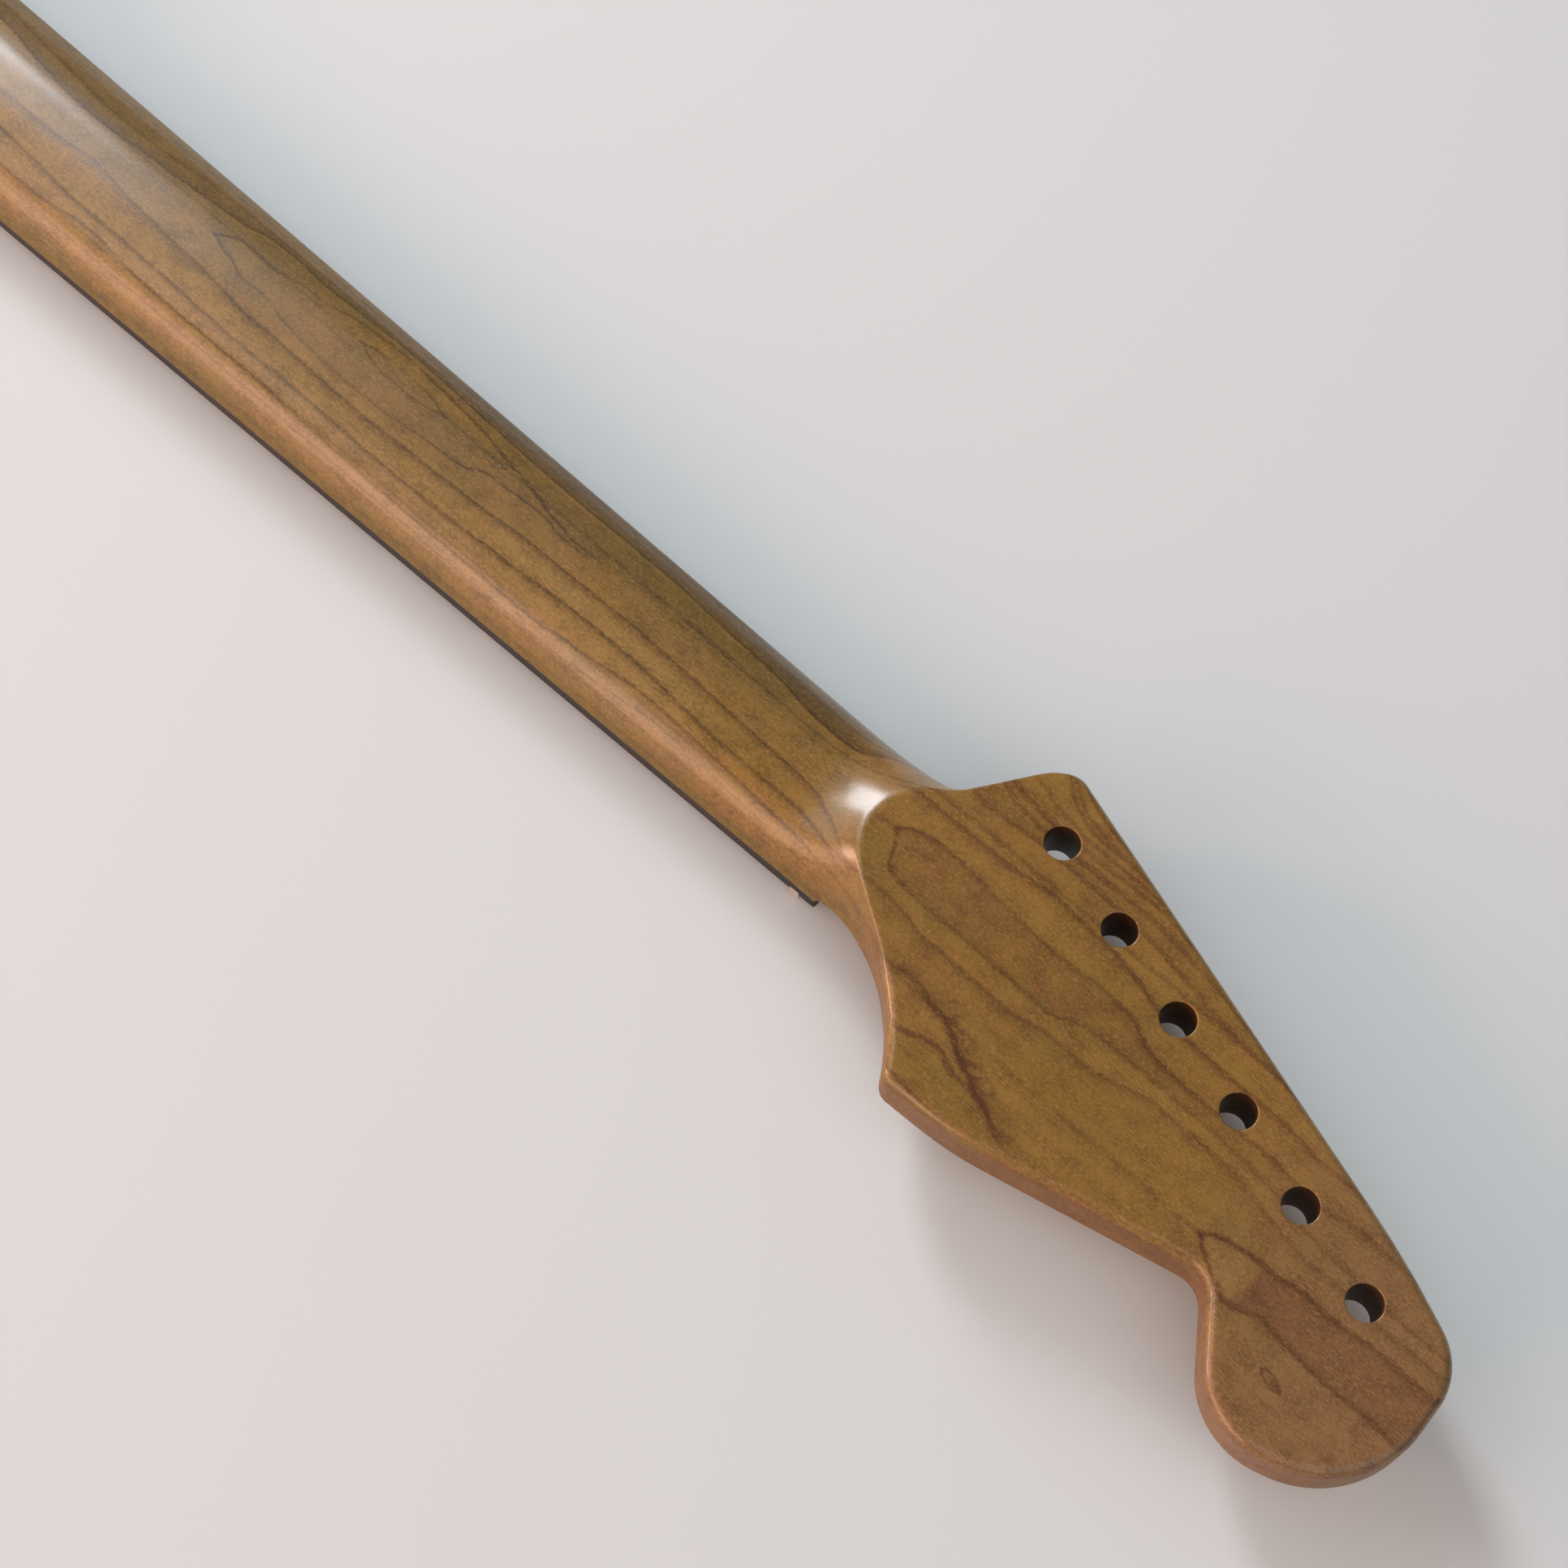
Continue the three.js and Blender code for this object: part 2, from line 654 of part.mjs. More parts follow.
function adjustingNut() {
  const hexSides = 6;
  const hexRadius = hexAcrossFlats / Math.sqrt(3);
  const gripped = [adjusterRearX - overrun, adjusterRearX + adjusterGrip];
  const mouth = [adjusterFrontX - hexDepth, adjusterFrontX + overrun];
  const body = toSolid(barAlongX(adjusterRadius, [adjusterRearX, adjusterFrontX], 0, rodZ, rodSides));
  return subtractAll(body, [
    barAlongX(rodRadius + runningGap, gripped, 0, rodZ, rodSides),
    barAlongX(hexRadius, mouth, 0, rodZ, hexSides),
  ]);
}

const finishes = {
  maple: { color: 0xa87c48, roughness: 0.32, metalness: 0 },
  darkWood: { color: 0x2a1a14, roughness: 0.6, metalness: 0 },
  bone: { color: 0xd8d2c0, roughness: 0.4, metalness: 0 },
  nickelSilver: { color: 0xc9c7c0, roughness: 0.28, metalness: 1 },
  pearloid: { color: 0xdedbd2, roughness: 0.35, metalness: 0 },
  steel: { color: 0x7b7d80, roughness: 0.45, metalness: 1 },
  blackSteel: { color: 0x3a3b3d, roughness: 0.5, metalness: 1 },
  brass: { color: 0xb08d4a, roughness: 0.4, metalness: 1 },
};

const neckAssembly = new THREE.Group();

// Adds one named piece, from a geometry or from a cut solid.
function addPiece(name, finish, shape) {
  const geometry = shape.isBufferGeometry ? shape : toGeometry(shape);
  const mesh = new THREE.Mesh(geometry, new THREE.MeshStandardMaterial(finishes[finish]));
  mesh.name = name;
  neckAssembly.add(mesh);
}

addPiece("neck", "maple", maple());
addPiece("fingerboard", "darkWood", fingerboard());
addPiece("nut", "bone", nut());
frets.forEach((number) => addPiece(`fret_${twoDigits(number)}`, "nickelSilver", fret(number)));
dotPlaces().forEach((dot) => {
  addPiece(`face_dot_${dot.name}`, "pearloid", faceDot(dot, 0, 0));
  addPiece(`side_dot_${dot.name}`, "pearloid", sideDot(dot, 0, 0));
});
addPiece("rear_rod_block", "brass", rodBlock(rearBlockX));
addPiece("front_rod_block", "brass", rodBlock(frontBlockX - blockLength));
addPiece("tension_bar", "steel", tensionBar());
addPiece("truss_rod", "steel", trussRod());
addPiece("adjusting_nut", "blackSteel", adjustingNut());

export default neckAssembly;
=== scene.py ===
from functools import lru_cache

import bmesh
import bpy
import numpy as np
from mathutils import Matrix, Vector
from mathutils.geometry import delaunay_2d_cdt


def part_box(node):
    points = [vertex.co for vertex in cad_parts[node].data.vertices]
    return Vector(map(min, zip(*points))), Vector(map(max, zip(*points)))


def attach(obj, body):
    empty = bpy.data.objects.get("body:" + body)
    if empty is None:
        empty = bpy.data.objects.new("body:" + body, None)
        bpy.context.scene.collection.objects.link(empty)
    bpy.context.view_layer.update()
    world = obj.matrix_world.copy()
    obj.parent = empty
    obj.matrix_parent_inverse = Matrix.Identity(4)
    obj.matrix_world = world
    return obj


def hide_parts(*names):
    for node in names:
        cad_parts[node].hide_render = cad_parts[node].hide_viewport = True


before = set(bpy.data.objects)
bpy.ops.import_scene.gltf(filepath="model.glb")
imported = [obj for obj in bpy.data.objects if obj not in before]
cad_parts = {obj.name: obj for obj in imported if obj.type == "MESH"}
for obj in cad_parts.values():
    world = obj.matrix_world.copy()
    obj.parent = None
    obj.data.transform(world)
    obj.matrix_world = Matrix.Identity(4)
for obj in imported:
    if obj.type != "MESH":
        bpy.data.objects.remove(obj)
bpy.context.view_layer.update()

# Electric guitar neck, lying on its frets. Sizes are in millimetres until a mesh is made.
# +X runs from the heel to the headstock's tip, +Y to the tuner edge, +Z out of the back.
MM = 0.001
# Vertices closer than the first, in metres, become one. Edges that turn by more degrees are sharp.
MERGE_DISTANCE = 2e-7
SHARP_ANGLE = 40.0

# Scale and shaft
SCALE_LENGTH = 647.7
FRET_COUNT = 22
NOTES_PER_OCTAVE = 12
NUT_WIDTH = 42.0
HEEL_WIDTH = 56.0
HEEL_THICKNESS = 25.4
BOARD_THICKNESS = 5.2
BOARD_RADIUS = 241.3
THICKNESS_AT_FIRST_FRET = 21.0
THICKNESS_AT_TWELFTH_FRET = 22.5
LAST_FRET_PAST_HEEL = 4.5
BOARD_PAST_LAST_FRET = 7.5
BOARD_PAST_NUT = 4.7
BOARD_EDGE_ROLL = 0.6
BOARD_END_EASE = 0.35
# How far on, as a share of the ease, its middle ring lies
EASE_MIDDLE = 0.3
CROWN_FLAT = 0.8
SHAFT_FULLNESS = 2.25
ELLIPSE_FULLNESS = 2.0

# Heel
SCREW_SPACING_ALONG = 50.8
SCREW_SPACING_ACROSS = 38.1
HEEL_END_TO_SCREWS = 12.1
PILOT_HOLE_RADIUS = 1.6
PILOT_HOLE_DEPTH = 17.0
PILOT_HOLE_RIM = 0.3
PILOT_HOLE_SIDES = 48
HEEL_CORNER_RADIUS = 4.0
HEEL_FLAT_PAST_SCREWS = 13.0
HEEL_RAMP_LENGTH = 42.0
HEEL_EDGE_RADIUS = 2.5

# Headstock
HEADSTOCK_THICKNESS = 14.4
FIRST_TUNER_FROM_NUT = 45.2
FIRST_TUNER_OFFSET = 23.5
TUNER_SPACING = 25.1
TUNER_COUNT = 6
TUNER_LINE_ANGLE = np.radians(17.9)
TUNER_HOLE_RADIUS = 4.37
TUNER_HOLE_EASE = 0.35
FIRST_TUNER_MARGIN = 13.9
LAST_TUNER_MARGIN = 14.3
EDGE_BEFORE_FIRST_TUNER = 16.8
TIP_PAST_LAST_TUNER = 26.4
HEADSTOCK_REACH = 57.9
EDGE_RADIUS = 2.5
SCOOP_BEFORE_NUT = 12.0
SCOOP_PAST_NUT = 7.2
FRONT_RAMP_LENGTH = 13.0
RIDGE_SOFTNESS = 0.7
RIDGE_START_ANGLE = np.radians(4)
RIDGE_FULL_ANGLE = np.radians(24)
LOFT_END_PAST_NUT = 39.4
RIDGE_FADE_PAST_NUT = 30.0
EDGE_BAND = 0.4

# Nut
NUT_THICKNESS = 3.3
NUT_ABOVE_BOARD = 2.8
BOARD_UNDER_NUT = 2.8
STRING_COUNT = 6
STRING_SPREAD = 35.0
STRING_SLOT_RADIUS = 0.55
STRING_SLOT_DEPTH = 0.9
SLOT_LIP_REACH = 1.25
SLOT_LIP_DEPTH = 0.1
NUT_END_ROUNDING = 0.7
NUT_CREST_ROUNDING = 0.9
NUT_STEP = 0.5
# How far the nut draws in at its ends: the crest as a share of their rounding, and its two faces
# and its seat as shares of that
NUT_CREST_DRAW = 0.8
NUT_FACE_DRAW = 0.5
NUT_SEAT_DRAW = 0.3

# Frets, dots and truss rod
FRET_WIDTH = 2.4
FRET_HEIGHT = 1.15
FRET_TANG = 0.5
FRET_TANG_DEPTH = 1.5
FRET_END_SLOPE = 0.7
FRET_END_INSET = 0.4
# The crown's height and width at its very end, as shares of the full ones
FRET_END_HEIGHT = 0.3
FRET_END_WIDTH = 0.82
DOT_RADIUS = 3.2
DOT_PROUD = 0.03
DOT_SIDES = 48
SIDE_DOT_RADIUS = 1.1
SIDE_DOT_LENGTH = 3.0
SIDE_DOT_PROUD = 0.02
SIDE_DOT_SIDES = 32
SIDE_DOT_RIM = 0.12
SIDE_DOT_DOME = 0.02
ROD_DEPTH = 6.3
BLOCK_WIDTH = 6.0
BLOCK_HEIGHT = 9.6
ROD_RADIUS = 2.4
ADJUSTER_RADIUS = 3.5
ADJUSTER_CHAMFER = 0.6
ADJUSTER_EASE = 0.25
ADJUSTER_GROOVE = 0.5
ADJUSTER_BORE_DEPTH = 5.0
ADJUSTER_SIDES = 48
HEX_ACROSS_FLATS = 4.0
HEX_DEPTH = 6.0
# The socket ends in a shallow cone.
HEX_CONE_DEPTH = 0.3
HEX_CONE_TIP = 0.05
ACCESS_PAST_NUT = 23.0
ACCESS_WIDTH = 8.4
FIT = 0.1
CHANNEL_GAP = 0.3
OVERRUN = 2.0


def fret_distance(fret):
    return SCALE_LENGTH * (1 - 2 ** (-fret / NOTES_PER_OCTAVE))


HEEL_END_X = -SCREW_SPACING_ALONG / 2 - HEEL_END_TO_SCREWS
NUT_X = HEEL_END_X + fret_distance(FRET_COUNT) - LAST_FRET_PAST_HEEL
BOARD_END_X = NUT_X - fret_distance(FRET_COUNT) - BOARD_PAST_LAST_FRET
BOARD_FRONT_X = NUT_X + NUT_THICKNESS + BOARD_PAST_NUT
HEEL_FLAT_END_X = SCREW_SPACING_ALONG / 2 + HEEL_FLAT_PAST_SCREWS
HEEL_RAMP_END_X = HEEL_FLAT_END_X + HEEL_RAMP_LENGTH
SCOOP_START_X = NUT_X - SCOOP_BEFORE_NUT
SCOOP_END_X = NUT_X + SCOOP_PAST_NUT
LOFT_END_X = NUT_X + LOFT_END_PAST_NUT
CROWN_Z = -HEEL_THICKNESS
JOINT_Z = CROWN_Z + BOARD_THICKNESS
FRONT_Z = -HEADSTOCK_THICKNESS
ROD_Z = JOINT_Z + ROD_DEPTH
TUNER_ALONG = np.array([np.cos(TUNER_LINE_ANGLE), -np.sin(TUNER_LINE_ANGLE)])
TUNER_OUT = np.array([np.sin(TUNER_LINE_ANGLE), np.cos(TUNER_LINE_ANGLE)])
FIRST_TUNER = np.array([NUT_X + FIRST_TUNER_FROM_NUT, FIRST_TUNER_OFFSET])
TUNER_RUN = TUNER_SPACING * (TUNER_COUNT - 1)
TUNERS = [FIRST_TUNER + TUNER_ALONG * TUNER_SPACING * i for i in range(TUNER_COUNT)]
HEADSTOCK_LENGTH = FIRST_TUNER_FROM_NUT + TUNER_RUN * TUNER_ALONG[0] + TIP_PAST_LAST_TUNER


def lerp(a, b, t):
    """Between two values, or past them where the share is more than 1 or less than 0."""
    return a + (b - a) * t


def smooth(x, low, high):
    t = np.clip((x - low) / (high - low), 0, 1)
    return t * t * (3 - 2 * t)


def rounding(radius, count):
    """Points of a quarter circle that rounds the corner at 0, 0, from the first axis to the second."""
    angles = np.linspace(0, np.pi / 2, count)
    return [(radius * (1 - np.sin(a)), radius * (1 - np.cos(a))) for a in angles]


def arch_drop(y):
    return BOARD_RADIUS - np.sqrt(BOARD_RADIUS**2 - np.asarray(y, float) ** 2)


def half_width(x):
    return lerp(NUT_WIDTH / 2, HEEL_WIDTH / 2, (NUT_X - x) / (NUT_X - HEEL_END_X))


# The headstock's outline


def headstock_corners():
    """Corners from the nut round the tip and back: place, and the rounding's share of the edge."""
    # Places along and across as shares of the headstock's length and reach, and the rounding
    outer = {
        "horn": (0.2762, 0.8535, 0.13),
        "bend": (0.3852, 0.837, 0.397),
        "notch": (0.7086, 0.5755, 0.16),
        "ball": (0.8131, 1.06, 0.438),
        "tip": (1.0065, 0.8665, 0.56),
        "shoulder": (0.9945, 0.2, 0.369),
    }
    throat, far_throat, edge_end = 0.1828, 0.093, 0.9745

    def along(share):
        return NUT_X + share * HEADSTOCK_LENGTH

    def tuner_edge(distance):
        margin = lerp(FIRST_TUNER_MARGIN, LAST_TUNER_MARGIN, distance / TUNER_RUN)
        return FIRST_TUNER + TUNER_ALONG * distance + TUNER_OUT * margin

    half = NUT_WIDTH / 2
    corners = [(NUT_X, -half, 0), (along(throat), -half, 0.85)]
    corners += [(along(far), -across * HEADSTOCK_REACH, share) for far, across, share in outer.values()]
    corners.append((*tuner_edge(edge_end * TUNER_RUN), 0.541))
    corners.append((*tuner_edge(-EDGE_BEFORE_FIRST_TUNER), 0.242))
    return corners + [(along(far_throat), half, 0.24), (NUT_X, half, 0)]


def rounded_path(corners, step):
    """Points of a path with rounded corners, and the inward normal at each."""
    points, normals = [], []
    count = len(corners)
    for i, (x, y, share) in enumerate(corners):
        corner = np.array([x, y])
        before = np.array(corners[i - 1][:2]) - corner
        after = np.array(corners[(i + 1) % count][:2]) - corner
        reach = share * min(np.linalg.norm(before), np.linalg.norm(after))
        before /= np.linalg.norm(before)
        after /= np.linalg.norm(after)
        if not share:
            along = after if i == 0 else -before
            points.append(corner)
            normals.append(np.array([-along[1], along[0]]))
            continue
        opening = np.arccos(before @ after)
        middle = (before + after) / np.linalg.norm(before + after)
        radius = reach * np.tan(opening / 2)
        centre = corner + middle * radius / np.sin(opening / 2)
        start = corner + before * reach - centre
        way = np.sign(-before[0] * after[1] + before[1] * after[0])
        turn = np.pi - opening
        steps = max(3, int(np.ceil(turn / step)))
        for k in range(steps + 1):
            a = way * turn * k / steps
            ray = np.array([[np.cos(a), -np.sin(a)], [np.sin(a), np.cos(a)]]) @ start
            points.append(centre + ray)
            normals.append(-ray / radius * way)
    return np.array(points), np.array(normals)


OUTLINE, INWARD = rounded_path(headstock_corners(), np.radians(3))
TIP_INDEX = int(OUTLINE[:, 0].argmax())


@lru_cache(maxsize=None)
def side_points(inset, side):
    """An edge of the headstock, moved inwards, from the nut to the tip; side is -1 or 1."""
    moved = OUTLINE + INWARD * inset
    part = moved[: TIP_INDEX + 1] if side < 0 else moved[TIP_INDEX:][::-1]
    keep = [0]
    for i in range(1, len(part)):
        if part[i, 0] > part[keep[-1], 0]:
            keep.append(i)
    return part[keep]


def half_at(x, inset, side):
    """Distance from the centre line to the neck's edge, less an inset along the edge's normal."""
    if x <= NUT_X:
        corner = min(HEEL_CORNER_RADIUS, max(x - HEEL_END_X, 0))
        cut = HEEL_CORNER_RADIUS - np.sqrt(HEEL_CORNER_RADIUS**2 - (HEEL_CORNER_RADIUS - corner) ** 2)
        return half_width(x) - cut - inset
    part = side_points(inset, side)
    return abs(np.interp(x, part[:, 0], part[:, 1]))


# The neck's sections


def crown_height(x):
    """Height of the middle of the back, which would rise above the headstock past the scoop."""
    first = NUT_X - fret_distance(1)
    twelfth = NUT_X - fret_distance(NOTES_PER_OCTAVE)
    thick = lerp(THICKNESS_AT_FIRST_FRET, THICKNESS_AT_TWELFTH_FRET, (x - first) / (twelfth - first))
    shaft = CROWN_Z + thick
    if x < HEEL_RAMP_END_X:
        return shaft * smooth(x, HEEL_FLAT_END_X, HEEL_RAMP_END_X)
    scoop = max(0, (x - SCOOP_START_X) / (SCOOP_END_X - SCOOP_START_X))
    return shaft * (1 - scoop**2)


def front_height(x):
    ramp = np.clip((x - BOARD_FRONT_X - FIT) / FRONT_RAMP_LENGTH, 0, 1)
    return JOINT_Z + (FRONT_Z - JOINT_Z) * np.sqrt(1 - (1 - ramp) ** 2)


def curve_base(x):
    """Height at which the back's curve stands upright, which the front face cuts off."""
    return lerp(JOINT_Z, FRONT_Z, smooth(x, BOARD_FRONT_X, LOFT_END_X))


# Points on the stretches of a section
FRONT_FLAT_POINTS = 8
SIDE_POINTS = 22
BACK_FLAT_POINTS = 56
CORNER_POINTS = 10
CURVE_POINTS = 700
HOLE_SIDES = 72


def edge_profile(low_radius, front):
    """Inset and height round a plate's edge, from its front face to its back."""
    side = np.linspace(front + low_radius, -EDGE_RADIUS, SIDE_POINTS + 2)[1:-1]
    rows = [(low_radius + EDGE_BAND, front)]
    rows += [(inset, front + rise) for inset, rise in rounding(low_radius, CORNER_POINTS)]
    rows += [(0, z) for z in side]
    rows += [(inset, -drop) for inset, drop in rounding(EDGE_RADIUS, CORNER_POINTS)[::-1]]
    return rows + [(EDGE_RADIUS + EDGE_BAND, 0.0)]


def plate_profile(x, side):
    """One side of an even plate with rounded edges: front middle, round the edge, back middle."""
    low_radius = FIT + (EDGE_RADIUS - FIT) * smooth(x, BOARD_FRONT_X, LOFT_END_X)
    edge = [(half_at(x, inset, side), z) for inset, z in edge_profile(low_radius, front_height(x))]
    (front_reach, front), (back_reach, back) = edge[0], edge[-1]
    rows = [(share * front_reach, front) for share in np.linspace(0, 1, FRONT_FLAT_POINTS)[:-1]]
    rows += edge
    rows += [(share * back_reach, back) for share in np.linspace(1, 0, BACK_FLAT_POINTS)[1:]]
    return np.array(rows)


def superellipse(half, height, margin, round_height, fullness, count):
    """A side and a rounded corner, as distances from the section's front middle."""
    angles = np.linspace(0, np.pi / 2, count)
    out = np.cos(angles) ** (2 / fullness)
    up = np.sin(angles) ** (2 / fullness)
    corner = np.column_stack([half - margin * (1 - out), height - round_height * (1 - up)])
    shares = np.linspace(0, 1, count)[:, None]
    side = lerp(np.array([half, 0.0]), corner[0], shares)
    top = lerp(corner[-1], np.array([0.0, height]), shares)
    return np.vstack([side[:-1], corner, top[1:]])


def polar_cut(profile, front, curve):
    """How far each point's ray may reach from the section's front middle inside a curve."""
    angle = np.arctan2(profile[:, 1] - front, profile[:, 0])
    curve_angle = np.arctan2(curve[:, 1], curve[:, 0])
    order = np.argsort(curve_angle)
    return np.interp(angle, curve_angle[order], np.hypot(curve[:, 0], curve[:, 1])[order]), angle


def section(x, side):
    """The neck's half section at a place: points from the front middle round to the back middle."""
    plate = plate_profile(x, side)
    front = front_height(x)
    crown = crown_height(x)
    full = half_at(x, 0, side)
    reach = np.hypot(plate[:, 0], plate[:, 1] - front)
    height = crown - front
    if x <= SCOOP_START_X:
        share = smooth(x, HEEL_FLAT_END_X, HEEL_RAMP_END_X)
        margin = lerp(HEEL_EDGE_RADIUS, full - CROWN_FLAT / 2, share)
        round_height = lerp(HEEL_EDGE_RADIUS, height, share)
        fullness = lerp(ELLIPSE_FULLNESS, SHAFT_FULLNESS, share)
        curve = superellipse(full, height, margin, round_height, fullness, CURVE_POINTS)
        limit, angle = polar_cut(plate, front, curve)
        kept = np.where(plate[:, 1] > front + FIT, limit, np.minimum(reach, limit))
    else:
        base = curve_base(x)
        height = crown - base
        curve = superellipse(full, height, full - CROWN_FLAT / 2, height, SHAFT_FULLNESS, CURVE_POINTS)
        curve[:, 1] += base - front
        limit, angle = polar_cut(plate, front, curve)
        # The ridge between scoop and plate is soft, except close to the front face.
        soft = RIDGE_SOFTNESS * smooth(x, SCOOP_START_X, SCOOP_END_X)
        soft = soft * smooth(angle, RIDGE_START_ANGLE, RIDGE_FULL_ANGLE) + 1e-6
        blend = np.clip(0.5 + 0.5 * (limit - reach) / soft, 0, 1)
        kept = lerp(limit, reach, blend) - soft * blend * (1 - blend)
        kept = lerp(kept, reach, smooth(x, NUT_X + RIDGE_FADE_PAST_NUT, LOFT_END_X))
    return np.column_stack([kept * np.cos(angle), front + kept * np.sin(angle)])


def stations():
    """Places of the sections along the neck, close together where the shape turns."""
    ends = [HEEL_END_X, HEEL_END_X + HEEL_CORNER_RADIUS, HEEL_FLAT_END_X, HEEL_RAMP_END_X]
    ends += [SCOOP_START_X, BOARD_FRONT_X, LOFT_END_X]
    places = [HEEL_END_X]
    for start, end, count in zip(ends, ends[1:], (10, 4, 40, 14, 44, 84)):
        places += list(np.linspace(start, end, count + 1)[1:])
    return places


def new_object(name, verts, faces, sharp_angle=SHARP_ANGLE):
    """A mesh object from points in millimetres, with its faces turned out."""
    mesh = bpy.data.meshes.new(name)
    mesh.from_pydata([tuple(float(c) * MM for c in v) for v in verts], [], [tuple(f) for f in faces])
    build = bmesh.new()
    build.from_mesh(mesh)
    bmesh.ops.remove_doubles(build, verts=build.verts, dist=MERGE_DISTANCE)
    bmesh.ops.dissolve_degenerate(build, edges=build.edges, dist=MERGE_DISTANCE / 2)
    bmesh.ops.recalc_face_normals(build, faces=build.faces)
    build.to_mesh(mesh)
    build.free()
    mesh.shade_smooth()
    mesh.set_sharp_from_angle(angle=np.radians(sharp_angle))
    piece = bpy.data.objects.new(name, mesh)
    bpy.context.scene.collection.objects.link(piece)
    return piece


def circle(centre, radius, z, count):
    angles = 2 * np.pi * np.arange(count) / count
    return [(centre[0] + radius * np.cos(a), centre[1] + radius * np.sin(a), z) for a in angles]


def node_box(name):
    """A CAD node's box in millimetres."""
    low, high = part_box(name)
    return [c / MM for c in low], [c / MM for c in high]


def flat_faces(loop, holes, verts):
    """Triangles between an outer loop of vertex numbers and loops round holes."""
    numbers, ring_of, edges = [], [], []
    for index, ring in enumerate([loop, *holes]):
        start, size = len(numbers), len(ring)
        edges += [(start + k, start + (k + 1) % size) for k in range(size)]
        ring_of += [index] * size
        numbers += ring
    place = [Vector(verts[n][:2]) for n in numbers]
    rim = list(range(len(loop)))
    turn = sum(place[k - 1].x * place[k].y - place[k - 1].y * place[k].x for k in rim)
    found = delaunay_2d_cdt(place, edges, [rim if turn > 0 else rim[::-1]], 1, 1e-6, True)
    faces = []
    for triangle, inside in zip(found[2], found[5]):
        if not inside:
            continue
        corners = [found[3][k][0] for k in triangle]
        rings = {ring_of[k] for k in corners}
        if len(rings) == 1 and rings != {0}:
            continue
        faces.append([numbers[k] for k in corners])
    return faces


def bridge(one, two, closed=True):
    """Faces between two loops of vertex numbers."""
    count = len(one)
    pairs = [(k, (k + 1) % count) for k in range(count if closed else count - 1)]
    return [[one[k], one[j], two[j], two[k]] for k, j in pairs]


def tuner_hole_path():
    """Radius and height down a tuner hole: an eased rim, the wall and the far rim."""
    path = [(TUNER_HOLE_RADIUS + TUNER_HOLE_EASE + EDGE_BAND, 0.0)]
    path += [(TUNER_HOLE_RADIUS + out, -drop) for out, drop in rounding(TUNER_HOLE_EASE, 5)]
    return path + [(r, FRONT_Z - z) for r, z in path[::-1]]


def neck_mesh():
    """The maple shaft and headstock as one skin, with the tuner holes."""
    verts = []
    for x in stations():
        near, far = section(x, 1), section(x, -1)
        ring = [(x, y, z) for y, z in near] + [(x, -y, z) for y, z in far[::-1][1:-1]]
        verts += ring
    size = len(ring)
    faces = [list(range(size))]
    last = len(verts) - size
    for first in range(0, last, size):
        faces += bridge(range(first, first + size), range(first + size, first + 2 * size))
    # The rounded edge, carried round the tip from one side of the last section to the other.
    band_start, band_end = FRONT_FLAT_POINTS - 1, len(near) - BACK_FLAT_POINTS
    profile = edge_profile(EDGE_RADIUS, FRONT_Z)
    clear = OUTLINE[:, 0] > LOFT_END_X + EDGE_RADIUS
    columns = [[last + size - k for k in range(band_start, band_end + 1)]]
    for point, inward in zip(OUTLINE[clear], INWARD[clear]):
        columns.append(list(range(len(verts), len(verts) + len(profile))))
        verts += [(*(point + inward * inset), z) for inset, z in profile]
    columns.append([last + k for k in range(band_start, band_end + 1)])
    for one, two in zip(columns, columns[1:]):
        faces += bridge(one, two, closed=False)
    back_loops, front_loops = [], []
    for centre in TUNERS:
        loops = []
        for radius, z in tuner_hole_path():
            loops.append(list(range(len(verts), len(verts) + HOLE_SIDES)))
            verts += circle(centre, radius, z, HOLE_SIDES)
        for one, two in zip(loops, loops[1:]):
            faces += bridge(one, two)
        back_loops.append(loops[0])
        front_loops.append(loops[-1])
    back_line = [last + k for k in range(band_end, size - band_end + 1)]
    front_line = [last + k % size for k in range(size - band_start, size + band_start + 1)]
    back_rim = [c[-1] for c in columns[1:-1]]
    front_rim = [c[0] for c in columns[1:-1]]
    faces += flat_faces(back_line + back_rim, back_loops, verts)
    faces += flat_faces(front_line + front_rim[::-1], front_loops, verts)
    return verts, faces


def loft(name, rings, sharp_angle=SHARP_ANGLE):
    """A closed mesh through rings with equal counts of points, with both ends capped."""
    size = len(rings[0])
    verts = [tuple(point) for ring in rings for point in ring]
    last = len(verts) - size
    faces = [list(range(size)), list(range(last, last + size))]
    for first in range(0, last, size):
        faces += bridge(range(first, first + size), range(first + size, first + 2 * size))
    return new_object(name, verts, faces, sharp_angle)


def finish_piece(piece, body, node, material):
    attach(piece, body)
    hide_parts(node)
    piece.data.materials.clear()
    piece.data.materials.append(material)


def cut_away(piece, cutters):
    """Cuts tools out of a piece and takes the tools away."""
    for cutter in cutters:
        change = piece.modifiers.new("cut", "BOOLEAN")
        change.operation = "DIFFERENCE"
        change.solver = "EXACT"
        change.object = cutter
    bpy.context.view_layer.update()
    made = bpy.data.meshes.new_from_object(piece.evaluated_get(bpy.context.evaluated_depsgraph_get()))
    piece.modifiers.clear()
    old = piece.data
    piece.data = made
    bpy.data.meshes.remove(old)
    for cutter in cutters:
        bpy.data.objects.remove(cutter)
    made.shade_smooth()
    made.set_sharp_from_angle(angle=np.radians(SHARP_ANGLE))


